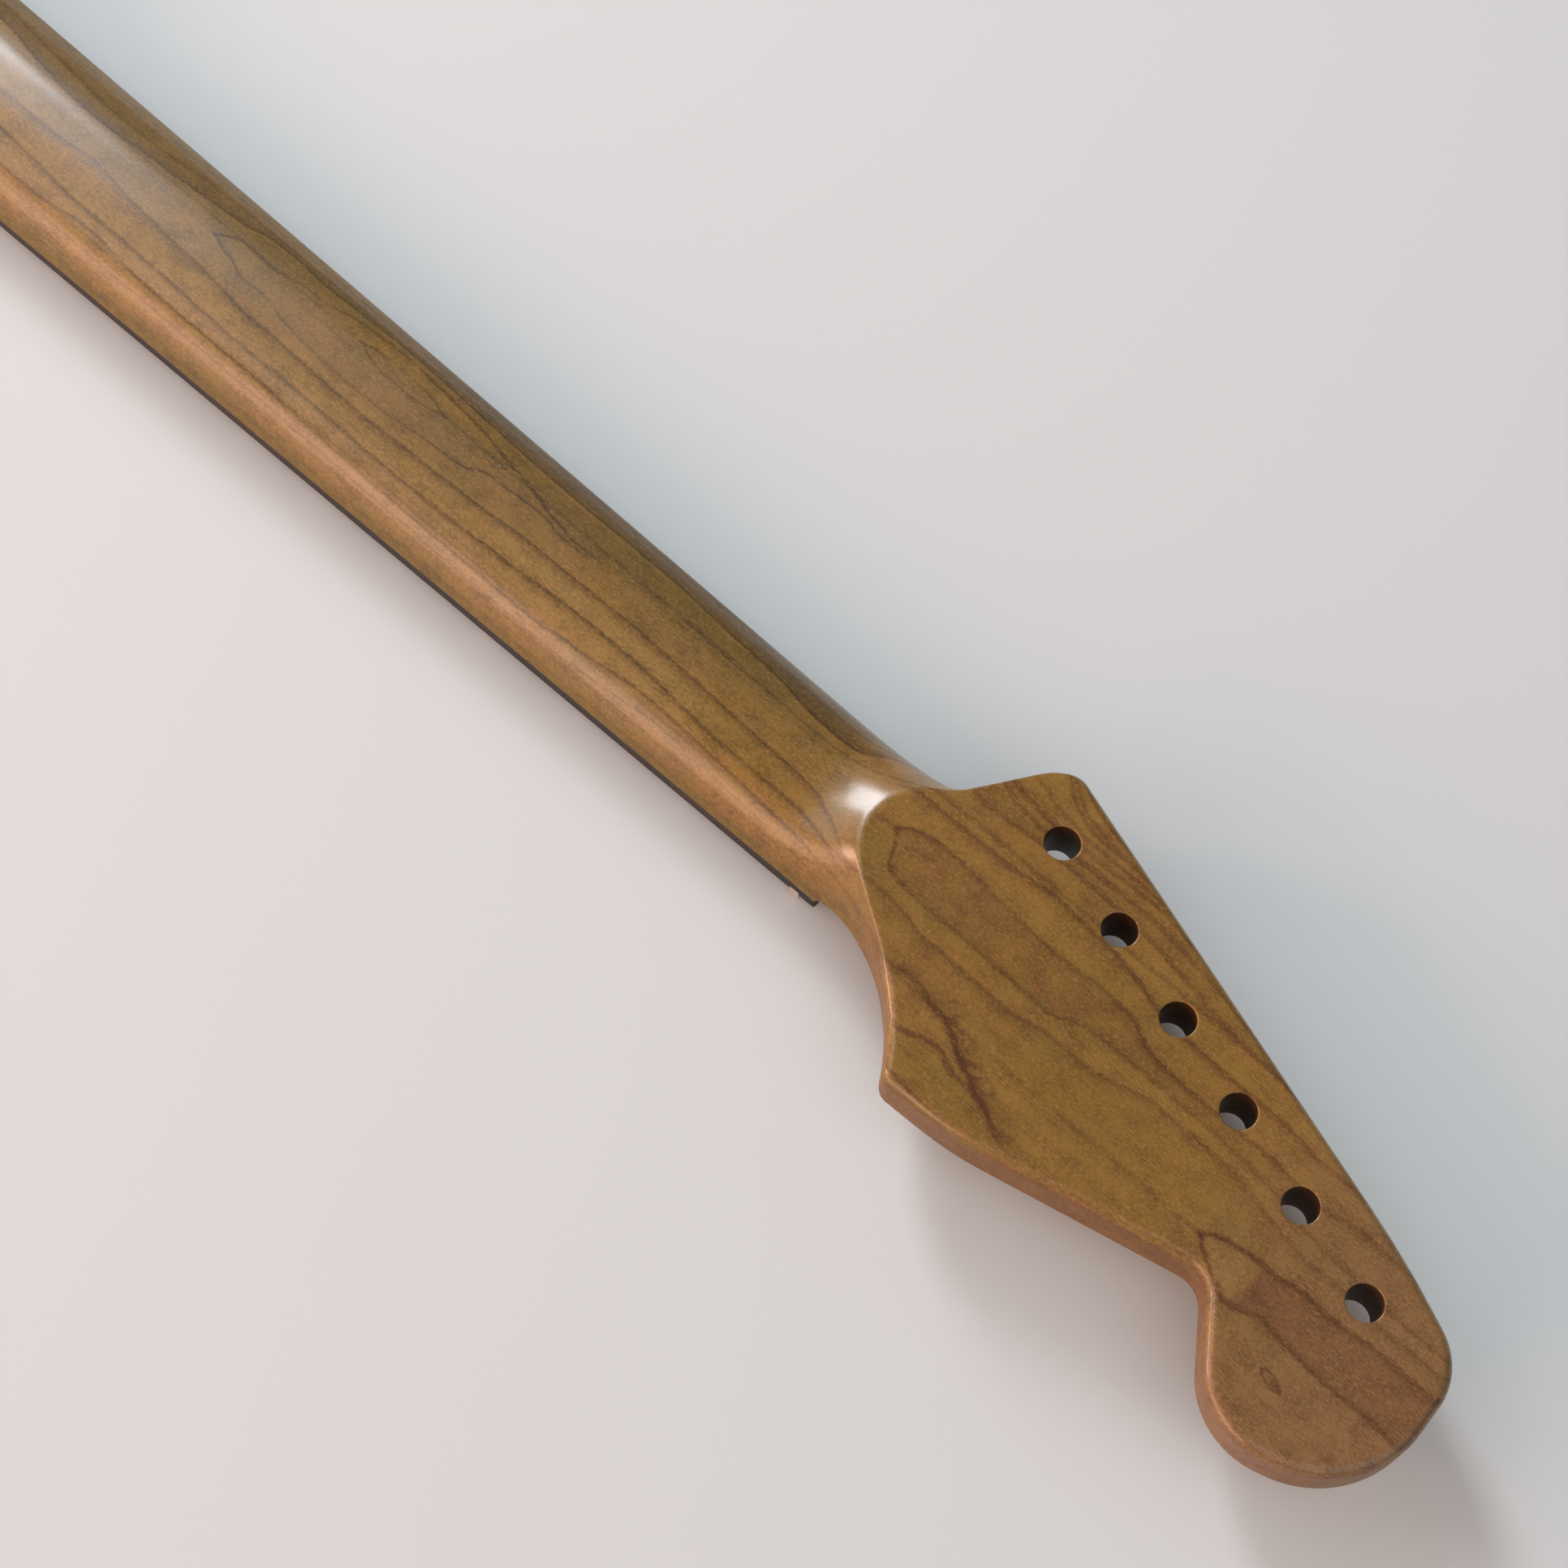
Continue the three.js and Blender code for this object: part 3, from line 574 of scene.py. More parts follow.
def slab(name, low, high, corner, count=8):
    """An upright slab with rounded corners in plan."""
    angles = np.linspace(0, np.pi / 2, count)
    plan = []
    # Corners are numbered anticlockwise from the high one.
    for turn, (right, top) in enumerate(((1, 1), (0, 1), (0, 0), (1, 0))):
        mx = high[0] - corner if right else low[0] + corner
        my = high[1] - corner if top else low[1] + corner
        for a in angles + turn * np.pi / 2:
            plan.append((mx + corner * np.cos(a), my + corner * np.sin(a)))
    return loft(name, [[(x, y, z) for x, y in plan] for z in (low[2], high[2])])


# Maple


def make_neck():
    verts, faces = neck_mesh()
    # The finer outline bows out past the solid by a few hundredths.
    neck = new_object("neck_maple", np.clip(verts, *node_box("neck")), faces)
    cutters = []
    rim = PILOT_HOLE_RADIUS + PILOT_HOLE_RIM
    pilot = [(PILOT_HOLE_RADIUS, -PILOT_HOLE_DEPTH), (PILOT_HOLE_RADIUS, -PILOT_HOLE_RIM)]
    pilot += [(rim, 0), (rim, OVERRUN)]
    for along in (-1, 1):
        for across in (-1, 1):
            centre = (along * SCREW_SPACING_ALONG / 2, across * SCREW_SPACING_ACROSS / 2)
            rings = [circle(centre, radius, z, PILOT_HOLE_SIDES) for radius, z in pilot]
            cutters.append(loft("pilot", rings))
    rod_low = node_box("truss_rod")[0][0]
    block_high = node_box("front_rod_block")[1][0]
    half = BLOCK_WIDTH / 2 + CHANNEL_GAP
    top = JOINT_Z + BLOCK_HEIGHT + 2 * CHANNEL_GAP
    low = (rod_low - CHANNEL_GAP, -half, JOINT_Z - OVERRUN)
    cutters.append(slab("channel", low, (block_high + OVERRUN, half, top), 0.5))
    low = (block_high, -ACCESS_WIDTH / 2, JOINT_Z - OVERRUN)
    high = (NUT_X + ACCESS_PAST_NUT, ACCESS_WIDTH / 2, ROD_Z + ACCESS_WIDTH / 2)
    cutters.append(slab("access", low, high, 2.0))
    cut_away(neck, cutters)
    return neck


# Fingerboard


def board_ring(x, shrink):
    """Section of the fingerboard at a place, drawn in by a little at its ends."""
    half = half_width(x) - shrink
    roll = BOARD_EDGE_ROLL
    crest = CROWN_Z + arch_drop(half) + shrink
    edge = [(half, z) for z in np.linspace(JOINT_Z - shrink, crest + roll, 7)[1:]]
    edge += [(half - inset, crest + rise) for inset, rise in rounding(roll, 6)[-2:0:-1]]
    ring = [(y, JOINT_Z - shrink) for y in np.linspace(-half, half, 12)] + edge
    ring += [(y, CROWN_Z + float(arch_drop(y)) + shrink) for y in np.linspace(half - roll, -half + roll, 36)]
    ring += [(-y, z) for y, z in edge[::-1]]
    return [(x, y, z) for y, z in ring]


def make_board():
    ease = BOARD_END_EASE
    middle = ease * EASE_MIDDLE
    places = [(BOARD_END_X, ease), (BOARD_END_X + middle, middle), (BOARD_END_X + ease, 0)]
    for fret in range(FRET_COUNT, -1, -1):
        x = NUT_X - fret_distance(fret)
        places += [(x, 0), (x + 1, 0)]
    places += [(BOARD_FRONT_X - ease, 0), (BOARD_FRONT_X - middle, middle), (BOARD_FRONT_X, ease)]
    board = loft("fingerboard_wood", [board_ring(x, shrink) for x, shrink in places])
    low = (NUT_X, -NUT_WIDTH, CROWN_Z - OVERRUN)
    slot = slab("slot", low, (NUT_X + NUT_THICKNESS, NUT_WIDTH, JOINT_Z - BOARD_UNDER_NUT), 0.05, 2)
    cut_away(board, [slot])
    return board


# Nut


def make_nut():
    """A bar across the neck with a rounded crest and a slot for each string."""
    half = NUT_WIDTH / 2 - FIT
    seat = JOINT_Z - BOARD_UNDER_NUT
    crest = CROWN_Z - NUT_ABOVE_BOARD
    low_x, high_x = NUT_X + FIT, NUT_X + NUT_THICKNESS - FIT
    slots = STRING_SPREAD * (np.arange(STRING_COUNT) / (STRING_COUNT - 1) - 0.5)
    end = NUT_END_ROUNDING
    into_end = np.array([inset for _, inset in rounding(end, 7)])
    corner = NUT_CREST_ROUNDING
    crest_corner = rounding(corner, 7)
    places = [-half + into_end, half - into_end, np.arange(-half + end, half - end, NUT_STEP)]
    places += [y + np.linspace(-SLOT_LIP_REACH, SLOT_LIP_REACH, 21) * STRING_SLOT_RADIUS for y in slots]
    places = np.unique(np.concatenate(places).round(4))
    rings = []
    for y in places:
        reach = max(0.0, abs(y) - (half - end)) / end
        draw = end * (1 - np.sqrt(max(0.0, 1 - reach**2))) * NUT_CREST_DRAW
        dip = 0.0
        for place in slots:
            off = abs(y - place) / STRING_SLOT_RADIUS
            if off < 1:
                dip = max(dip, STRING_SLOT_DEPTH - STRING_SLOT_RADIUS * (1 - np.sqrt(1 - off**2)))
            elif off < SLOT_LIP_REACH:
                dip = max(dip, SLOT_LIP_DEPTH * (SLOT_LIP_REACH - off) / (SLOT_LIP_REACH - 1))
        top = crest + float(arch_drop(y)) + dip + draw
        a, b = low_x + draw * NUT_FACE_DRAW, high_x - draw * NUT_FACE_DRAW
        foot = seat - draw * NUT_SEAT_DRAW
        ring = [(a, y, foot), (b, y, foot)]
        ring += [(b, y, z) for z in np.linspace(seat, top + corner, 6)[1:-1]]
        ring += [(b - inset, y, top + rise) for inset, rise in crest_corner[::-1]]
        ring += [(a + inset, y, top + rise) for inset, rise in crest_corner]
        ring += [(a, y, z) for z in np.linspace(top + corner, seat, 6)[1:-1]]
        rings.append(ring)
    return loft("nut_bar", rings, 50)


# Frets


def make_fret(number):
    """A wire with a domed crown, laid along the board's arch, its ends filed to a slope."""
    x = NUT_X - fret_distance(number)
    half = half_width(x) - FRET_END_INSET
    crown = [(np.cos(a), np.sin(a)) for a in np.linspace(0, np.pi, 15)]
    slope = FRET_END_SLOPE
    places = list(np.linspace(-half, -half + slope, 6))
    places += list(np.linspace(-half + slope, half - slope, 30)[1:-1])
    places += list(np.linspace(half - slope, half, 6))
    tang = [(-0.5, 0), (-0.5, FRET_TANG_DEPTH), (0.5, FRET_TANG_DEPTH), (0.5, 0)]
    rings = []
    for y in places:
        # The crown is lower and narrower towards its ends.
        left = min(1.0, (half - abs(y)) / slope)
        share = lerp(FRET_END_HEIGHT, 1, np.sqrt(max(0.0, 1 - (1 - left) ** 2)))
        base = CROWN_Z + float(arch_drop(y))
        wide = FRET_WIDTH / 2 * lerp(FRET_END_WIDTH, 1, share)
        ring = []
        for along, up in crown:
            ring.append((x + wide * along, y, base - FIT / 2 - (FRET_HEIGHT - FIT / 2) * up * share))
        rings.append(ring + [(x + FRET_TANG * along, y, base + deep) for along, deep in tang])
    return loft(f"fretwire_{number:02d}", rings, 60)


# Dots


def make_face_dot(name, low, high):
    """A disc let into the board's face, following its arch."""
    centre = ((low[0] + high[0]) / 2, (low[1] + high[1]) / 2)
    rings = []
    for r in np.concatenate([np.linspace(0.25, 0.97, 6), [1.0]]) * DOT_RADIUS:
        lift = DOT_PROUD if r < DOT_RADIUS else -DOT_PROUD
        ring = circle(centre, r, 0, DOT_SIDES)
        rings.append([(x, y, CROWN_Z + float(arch_drop(y)) - lift) for x, y, _ in ring])
    rings.append(circle(centre, DOT_RADIUS, high[2], DOT_SIDES))
    return loft(name, rings)


def make_side_dot(name, low, high):
    """A short rod end in the board's edge, with a slight dome."""
    centre = ((low[0] + high[0]) / 2, (low[2] + high[2]) / 2)
    edge = half_width(centre[0]) + SIDE_DOT_PROUD
    rings = []
    path = [(1, high[1] - SIDE_DOT_LENGTH), (1, edge - SIDE_DOT_RIM)]
    path += [(0.93, edge - SIDE_DOT_DOME), (0.5, edge)]
    for share, y in path:
        ring = circle(centre, SIDE_DOT_RADIUS * share, 0, SIDE_DOT_SIDES)
        rings.append([(a, y, b) for a, b, _ in ring])
    return loft(name, rings)


# Adjusting nut


def make_adjuster():
    """A round nut with chamfered ends, a bore behind and a hexagon socket in front."""
    low, high = (corner[0] for corner in node_box("adjusting_nut"))
    middle = (low + high) / 2
    bore = ROD_RADIUS + FIT
    bore_end = low + ADJUSTER_BORE_DEPTH
    socket_end = high - HEX_DEPTH
    body, ease = ADJUSTER_RADIUS, ADJUSTER_EASE
    chamfered = body - ADJUSTER_CHAMFER
    angles = 2 * np.pi * np.arange(ADJUSTER_SIDES) / ADJUSTER_SIDES
    hexagon = HEX_ACROSS_FLATS / 2 / np.cos((angles + np.pi / 6) % (np.pi / 3) - np.pi / 6)
    path = [(bore_end, bore * 0.02), (bore_end, bore), (low + ease, bore), (low, bore + ease)]
    path += [(low, chamfered), (low + ADJUSTER_CHAMFER, body)]
    path += [(middle - ADJUSTER_GROOVE, body), (middle, body - ease), (middle + ADJUSTER_GROOVE, body)]
    path += [(high - ADJUSTER_CHAMFER, body), (high, chamfered), (high, hexagon + ease)]
    path += [(high - ease, hexagon), (socket_end, hexagon), (socket_end - HEX_CONE_DEPTH, HEX_CONE_TIP)]
    rings = []
    for x, radius in path:
        reach = radius * np.ones(ADJUSTER_SIDES)
        ring = [0 * reach + x, reach * np.cos(angles), ROD_Z + reach * np.sin(angles)]
        rings.append(np.column_stack(ring))
    return loft("adjuster", rings, 30)


# Materials


class Graph:
    """A node material with its colour so far, and short ways to add nodes to it."""

    def __init__(self, name, colour=None):
        self.material = bpy.data.materials.new(name)
        self.material.use_nodes = True
        self.tree = self.material.node_tree
        self.shader = self.tree.nodes["Principled BSDF"]
        self.colour = colour

    def feed(self, socket, value):
        if isinstance(value, bpy.types.NodeSocket):
            self.tree.links.new(value, socket)
        else:
            socket.default_value = value

    def set(self, name, value):
        self.feed(self.shader.inputs[name], value)

    def add(self, kind, inputs=(), **settings):
        node = self.tree.nodes.new(kind)
        for key, value in settings.items():
            setattr(node, key, value)
        for socket, value in dict(inputs).items():
            self.feed(node.inputs[socket], value)
        return node

    def math(self, operation, *values, **settings):
        inputs = dict(enumerate(values))
        return self.add("ShaderNodeMath", inputs, operation=operation, **settings).outputs[0]

    def times(self, first, *others):
        for other in others:
            first = self.math("MULTIPLY", first, other)
        return first

    def plus(self, first, *others):
        for other in others:
            first = self.math("ADD", first, other)
        return first

    def vector(self, operation, *values):
        node = self.add("ShaderNodeVectorMath", dict(enumerate(values)), operation=operation)
        return node.outputs["Value" if operation == "LENGTH" else "Vector"]

    def separate(self, vector):
        return self.add("ShaderNodeSeparateXYZ", {0: vector}).outputs

    def combine(self, *values):
        return self.add("ShaderNodeCombineXYZ", dict(enumerate(values))).outputs[0]

    def span(self, value, low, high, to_low=0.0, to_high=1.0, kind="SMOOTHSTEP"):
        inputs = {0: value, 1: low, 2: high, 3: to_low, 4: to_high}
        return self.add("ShaderNodeMapRange", inputs, interpolation_type=kind).outputs[0]

    def stretch(self, vector, scale):
        """A texture's place and scale, where the scale may be one for each axis."""
        if isinstance(scale, tuple):
            return self.vector("MULTIPLY", vector, scale), 1.0
        return vector, scale

    def noise(self, vector, scale, detail=2.0, roughness=0.5, distortion=0.0):
        vector, scale = self.stretch(vector, scale)
        values = (vector, scale, detail, roughness, distortion)
        names = ("Vector", "Scale", "Detail", "Roughness", "Distortion")
        return self.add("ShaderNodeTexNoise", zip(names, values)).outputs[0]

    def voronoi(self, vector, scale):
        vector, scale = self.stretch(vector, scale)
        return self.add("ShaderNodeTexVoronoi", {"Vector": vector, "Scale": scale}).outputs["Distance"]

    def mix(self, share, one, two):
        """A blend of two colours, each a socket's or written as on a screen."""
        one, two = (linear(value) if isinstance(value, tuple) else value for value in (one, two))
        return self.add("ShaderNodeMix", {0: share, 6: one, 7: two}, data_type="RGBA").outputs[2]

    def lay(self, share, colour):
        """Lays a colour over the material's colour so far."""
        self.colour = self.mix(share, self.colour, colour)

    def curve(self, value, points):
        node = self.add("ShaderNodeFloatCurve", {"Value": value})
        node.mapping.extend = "HORIZONTAL"
        line = node.mapping.curves[0]
        while len(line.points) < len(points):
            line.points.new(0.5, 0.5)
        for spot, place in zip(line.points, points):
            spot.location = place
            spot.handle_type = "AUTO_CLAMPED"
        node.mapping.update()
        return node.outputs[0]

    def bump(self, height, distance, strength):
        inputs = {"Height": height, "Distance": distance, "Strength": strength}
        return self.add("ShaderNodeBump", inputs).outputs[0]

    def place(self, origin=(0, 0, 0)):
        """The object's own coordinates in millimetres, from an origin in millimetres."""
        where = self.add("ShaderNodeTexCoord").outputs["Object"]
        scaled = self.add("ShaderNodeVectorMath", {0: where, "Scale": 1 / MM}, operation="SCALE")
        return self.vector("SUBTRACT", scaled.outputs[0], origin)

    def finish(self, roughness, height, distance, strength):
        """The material, once its colour, roughness and bump are joined to the shader."""
        self.set("Base Color", self.colour)
        self.set("Roughness", roughness)
        self.set("Normal", self.bump(height, distance, strength))
        return self.material


def linear(colour):
    """A colour written as on a screen, in linear light."""
    shares = [c / 255 for c in colour]
    return (*(c / 12.92 if c <= 0.04045 else ((c + 0.055) / 1.055) ** 2.4 for c in shares), 1.0)


def back_height(x, y):
    """Height of the neck's back at a place measured from the nut."""
    if x >= LOFT_END_PAST_NUT:
        return 0.0
    rows = section(NUT_X + x, 1 if y >= 0 else -1)
    widest = rows[:, 0].argmax()
    upper = rows[widest:][::-1]
    return float(np.interp(abs(y), upper[:, 0], upper[:, 1]))


# The rings of the tree run along the neck and open upwards like a trough: each moves out by the
# slope for every step up, and the hollow rounds the trough's floor.
RING_SLOPE = 1.6
RING_HOLLOW = 5.0
# Where growth lines start and end from the nut, how far out they lie, and each one's own reach
GROWTH_START = -345.0
GROWTH_END = 194.0
ACROSS_REACH = 90.0
PROFILE_REACH = 6.0


def ring_place(y, z):
    """Where the ring through a point meets the plane of the headstock's back."""
    return y - RING_SLOPE * z * y / np.sqrt(y * y + RING_HOLLOW * RING_HOLLOW)


# Growth lines: how many millimetres the shade of each spreads to the near and to the far side, its
# depth of colour along the neck, and places along and across from the nut where it shows on the back.
GROWTH_LINES = {
    "far_bold": (
        (0.8, 3.4),
        [(-345, 0.8), (-190, 0.75), (-10, 0.85), (8, 0.35), (40, 0.5), (100, 0.4), (150, 0.25)],
        [(-345, 15.4), (-319, 13.2), (-303, 10.8), (-278, 8.7), (-261, 9.9), (-240, 11.5), (-226, 13),
         (-213, 15.6), (-197, 15), (-165, 16), (-150, 15.5), (-130, 14.4), (-110, 14), (-75, 14.2),
         (-55, 13.1), (-35, 12.1), (-25, 10.6), (-14, 9.8), (-7, 10.3), (-5, 11.1), (-3, 12.8),
         (-1, 14.4), (8, 17.2), (16.5, 18), (25, 18.2), (38, 19.4), (50, 19.8), (65, 19.5), (78, 18.8),
         (85, 17.2), (100, 14.4), (120, 13), (150, 12.4)],
    ),
    "far_faint": (
        (0.5, 1.6),
        [(-345, 0.45), (-190, 0.3), (-60, 0.4), (0, 0.4), (20, 0.45), (90, 0.4), (150, 0.15)],
        [(-345, 18.4), (-321, 17.3), (-306, 15.8), (-274, 13.8), (-259, 14.2), (-239, 16.2),
         (-210, 16.8), (-130, 16.7), (-90, 16.5), (-50, 16), (-30, 15.4), (-20, 14.9), (-12, 14.7),
         (-8, 15.2), (-1, 16.7), (10, 19.6), (20, 21.4), (42, 22.7), (70, 22.8), (80, 22.2), (90, 20.5),
         (110, 17.5), (150, 15.5)],
    ),
    "far_edge": (
        (0.5, 1.4),
        [(-190, 0.3), (-20, 0.3), (23, 0.45), (92, 0.35), (120, 0.1)],
        [(-190, 19), (-60, 18.5), (-8, 17.5), (4, 20.5), (23, 24.8), (50, 25.6), (70, 26), (92, 23.5),
         (120, 19)],
    ),
    "rim_one": (
        (0.4, 1.2),
        [(18, 0), (25, 0.35), (75, 0.35), (100, 0.1)],
        [(25, 28.2), (50, 28), (75, 27.8), (100, 25.5)],
    ),
    "rim_two": (
        (0.4, 1.1),
        [(20, 0), (28, 0.4), (75, 0.3), (95, 0.1)],
        [(25, 30.8), (50, 30.2), (75, 29.8), (95, 28)],
    ),
    "rim_three": (
        (0.4, 1.0),
        [(22, 0), (30, 0.35), (70, 0.3), (90, 0)],
        [(25, 33), (50, 31.8), (75, 30.6), (90, 30)],
    ),
    "rim_four": (
        (0.4, 1.2),
        [(26, 0), (34, 0.4), (60, 0.35), (75, 0)],
        [(30, 36.6), (50, 35), (75, 33)],
    ),
    "upper_knotty": (
        (0.6, 1.5),
        [(-229, 0), (-226, 0.8), (-218, 0.5), (-190, 0.4), (-150, 0.55), (-120, 0.7), (-98, 0.7),
         (-88, 0.3), (-72, 0)],
        [(-227, 4.5), (-224, 7), (-218, 8.7), (-211, 8.2), (-206, 8.8), (-199, 10.2), (-192, 10.4),
         (-184, 12.5), (-178, 13.2), (-165, 13.8), (-150, 12.8), (-140, 11.9), (-133, 10.8), (-127, 9.7),
         (-122, 8.8), (-116, 7.8), (-110, 6.5), (-105, 5.1), (-101, 4.7), (-98, 3.9), (-90, 4),
         (-72, 4.6)],
    ),
    "middle_knotty": (
        (0.5, 1.3),
        [(-229, 0), (-226, 0.7), (-212, 0.5), (-190, 0.35), (-150, 0.45), (-125, 0.6), (-98, 0.65),
         (-90, 0.2), (-82, 0)],
        [(-227, 4.5), (-222, 2.8), (-218, 2.2), (-212, 0), (-206, 0.4), (-197, -1.1), (-190, -2.2),
         (-180, -2.9), (-170, -3), (-160, -2.8), (-150, -1.8), (-142, -1.1), (-135, -0.5), (-131, 0),
         (-129, 1.3), (-126, 2.6), (-122, 2.8), (-115, 3.4), (-106, 3.7), (-103, 3.1), (-100, 2.5),
         (-95, 2.6), (-90, 3)],
    ),
    "eye_upper": (
        (0.8, 0.4),
        [(-178, 0), (-174, 0.6), (-168, 0.25), (-150, 0.35), (-147, 0.5), (-144, 0)],
        [(-176, 8.3), (-172, 9.4), (-165, 10), (-155, 9.6), (-149, 8.6), (-146, 7.5)],
    ),
    "eye_lower": (
        (0.4, 0.8),
        [(-178, 0), (-174, 0.5), (-166, 0.3), (-150, 0.35), (-147, 0.5), (-144, 0)],
        [(-176, 8.3), (-172, 6.4), (-165, 5.2), (-155, 5.4), (-149, 6.4), (-146, 7.5)],
    ),
    "near_olive": (
        (2.6, 0.5),
        [(-345, 0.6), (-190, 0.55), (-100, 0.65), (-10, 0.6), (6, 0.5), (20, 0.45), (70, 0.5),
         (120, 0.35), (194, 0.35)],
        [(-345, -3.4), (-296, -3), (-279, -2.7), (-266, -1.4), (-255, -2.9), (-238, -4.2), (-215, -5.4),
         (-204, -6.6), (-190, -6.6), (-180, -6.9), (-170, -7), (-150, -6.6), (-130, -5.8), (-110, -4.4),
         (-90, -3.6), (-70, -3.1), (-50, -3.5), (-30, -4), (-10, -4.7), (-5, -5.8), (-2, -7.2),
         (2, -9.2), (6, -11.6), (10, -13.8), (20, -15), (30, -15.7), (37, -17.3), (52, -17.2),
         (63, -17.5), (68, -16.5), (75, -15.5), (85, -15.4), (92, -14), (98, -12.3), (103, -11.8),
         (120, -12), (131, -13.2), (136, -14.3), (145, -16), (150, -16.6), (157, -16.4), (170, -17),
         (194, -17)],
    ),
    "near_second": (
        (1.9, 0.5),
        [(-190, 0.5), (-70, 0.55), (0, 0.5), (10, 0.3), (16, 0)],
        [(-345, -10.6), (-290, -11.1), (-257, -12.8), (-229, -12.6), (-203, -13.3), (-180, -12.8),
         (-170, -12.8), (-150, -13), (-130, -12.5), (-110, -11.5), (-90, -10.3), (-70, -9.4),
         (-60, -9.6), (-50, -10.1), (-30, -10.9), (-12, -10.7), (-5, -11.2), (0, -12.2), (5, -14),
         (10, -15.8), (16, -18)],
    ),
    "near_third": (
        (1.2, 0.5),
        [(-190, 0.35), (-70, 0.45), (0, 0.4), (8, 0)],
        [(-345, -18.6), (-274, -17.7), (-253, -15.9), (-224, -17.3), (-190, -16.9), (-175, -17.2),
         (-120, -17.3), (-90, -17), (-80, -16), (-70, -15.2), (-60, -14.3), (-50, -14), (-30, -14.4),
         (-12, -15), (0, -16), (8, -18)],
    ),
    "near_fourth": (
        (0.8, 0.4),
        [(-190, 0.25), (-50, 0.3), (0, 0.1)],
        [(-190, -19.6), (-90, -19.3), (-60, -17.8), (-50, -17), (0, -18.6)],
    ),
    "head_upper": (
        (1.6, 0.4),
        [(6, 0), (12, 0.5), (50, 0.55), (85, 0.6), (127, 0.45), (150, 0.3), (170, 0)],
        [(10, 9.8), (20, 10), (30, 10.4), (42, 10.4), (53, 11.7), (60, 11.3), (70, 10.7), (78, 9.5),
         (85, 7.5), (90, 6.2), (97, 5.5), (110, 5.2), (127, 5), (135, 4), (142, 3.5), (149, 4),
         (170, 5)],
    ),
    "loop_upper": (
        (2.2, 0.3),
        [(13, 0), (15, 0.75), (24, 0.6), (60, 0.45), (84, 0.6), (90, 0.75), (110, 0.5), (180, 0.3)],
        [(14.5, -1), (16, 0.8), (20, 2.4), (28, 3.2), (36, 2.9), (45, 2.1), (52, 1.5), (60, 1.1),
         (70, 1.3), (75, 1.7), (80, 1.2), (86, 0.8), (90, -1.5), (94, -2.6), (105, -3.4), (120, -3.2),
         (130, -3.3), (135, -4), (147, -4.2), (155, -3), (163, -3.4), (180, -3)],
    ),
    "loop_lower": (
        (0.3, 1.6),
        [(13, 0), (16, 0.5), (20, 0.7), (30, 0.5), (70, 0.55), (100, 0.4), (183, 0.3)],
        [(14.5, -1), (18, -6), (20, -9.6), (24, -10.8), (30, -11.2), (50, -11), (60, -11.3), (70, -11.5),
         (74, -10), (78, -8.5), (85, -7.8), (95, -7.4), (105, -7.6), (118, -8), (130, -8.8), (136, -9.6),
         (145, -11.6), (155, -12.4), (168, -13), (183, -13.3)],
    ),
    "jagged": (
        (1.2, 2.2),
        [(30, 0), (36, 0.5), (44, 0.7), (55, 0.75), (68, 0.95), (78, 0.7), (86, 0)],
        [(34, -27), (38, -26.8), (42, -26.3), (45, -26.6), (50, -28.4), (55, -29), (58, -31),
         (62, -33.5), (65, -34.7), (68, -36), (70, -37.5), (75, -39), (78, -40.8), (84, -43)],
    ),
    "jagged_branch": (
        (1.0, 1.0),
        [(45, 0), (49, 0.7), (55, 0.5), (62, 0.7), (70, 0.2), (74, 0)],
        [(47, -38.2), (49.5, -37.6), (53, -36), (57, -35.3), (59, -35.5), (61, -37), (65, -37.8),
         (70, -38)],
    ),
    "short_near": (
        (0.8, 0.8),
        [(50, 0), (54, 0.5), (61, 0.5), (66, 0)],
        [(52, -47), (58, -47.4), (64, -48)],
    ),
    "tongue_upper": (
        (1.4, 0.3),
        [(127, 0), (129, 0.8), (140, 0.7), (165, 0.6), (194, 0.5)],
        [(128.5, -28.3), (130, -26.5), (133, -25.2), (137, -24.6), (141, -23.9), (147, -24),
         (152, -22.8), (157, -23), (162, -22.8), (168, -22.3), (175, -21.8), (194, -21.6)],
    ),
    "tongue_lower": (
        (0.3, 1.2),
        [(127, 0), (129, 0.7), (138, 0.55), (146, 0.7), (168, 0.55), (192, 0.45)],
        [(128.5, -28.3), (130, -30), (134, -32.5), (138, -34.8), (142, -36.2), (145, -35.6), (147, -35),
         (150, -34), (155, -34.6), (168, -35.5), (180, -35.2), (192, -36.5)],
    ),
}

# Colours are written as on a screen.
MAPLE_GOLD = (140, 104, 42)
MAPLE_OLIVE = (122, 95, 31)
MAPLE_RED = (138, 92, 42)
MAPLE_DARK = (70, 31, 3)
MAPLE_SHAFT_DARK = (56, 38, 3)
MAPLE_SHADE = (84, 50, 17)
MAPLE_SHAFT_SHADE = (86, 58, 14)
MAPLE_TIP = (108, 70, 42)
MAPLE_SMUDGE = (84, 44, 18)
# Painted shade for the walls of the tuner holes
TUNER_BORE_SHADE = (38, 22, 12)

# A growth line's core in millimetres either way, and its strength there; then the strength of its
# shade at the width given for the line, and how many times that width the shade reaches
CORE_WIDTH = 1.2
CORE_END = 0.06
SHADE_AT_WIDTH = 0.35
SHADE_REACH = 2.2

# The small eye in the round end: its place from the nut, tilt, half sizes and rim
EYE_PLACE = (160.0, -43.0)
EYE_TILT = np.radians(-15)
EYE_LENGTH = 3.1
EYE_HEIGHT = 1.25
EYE_RIM = 0.95


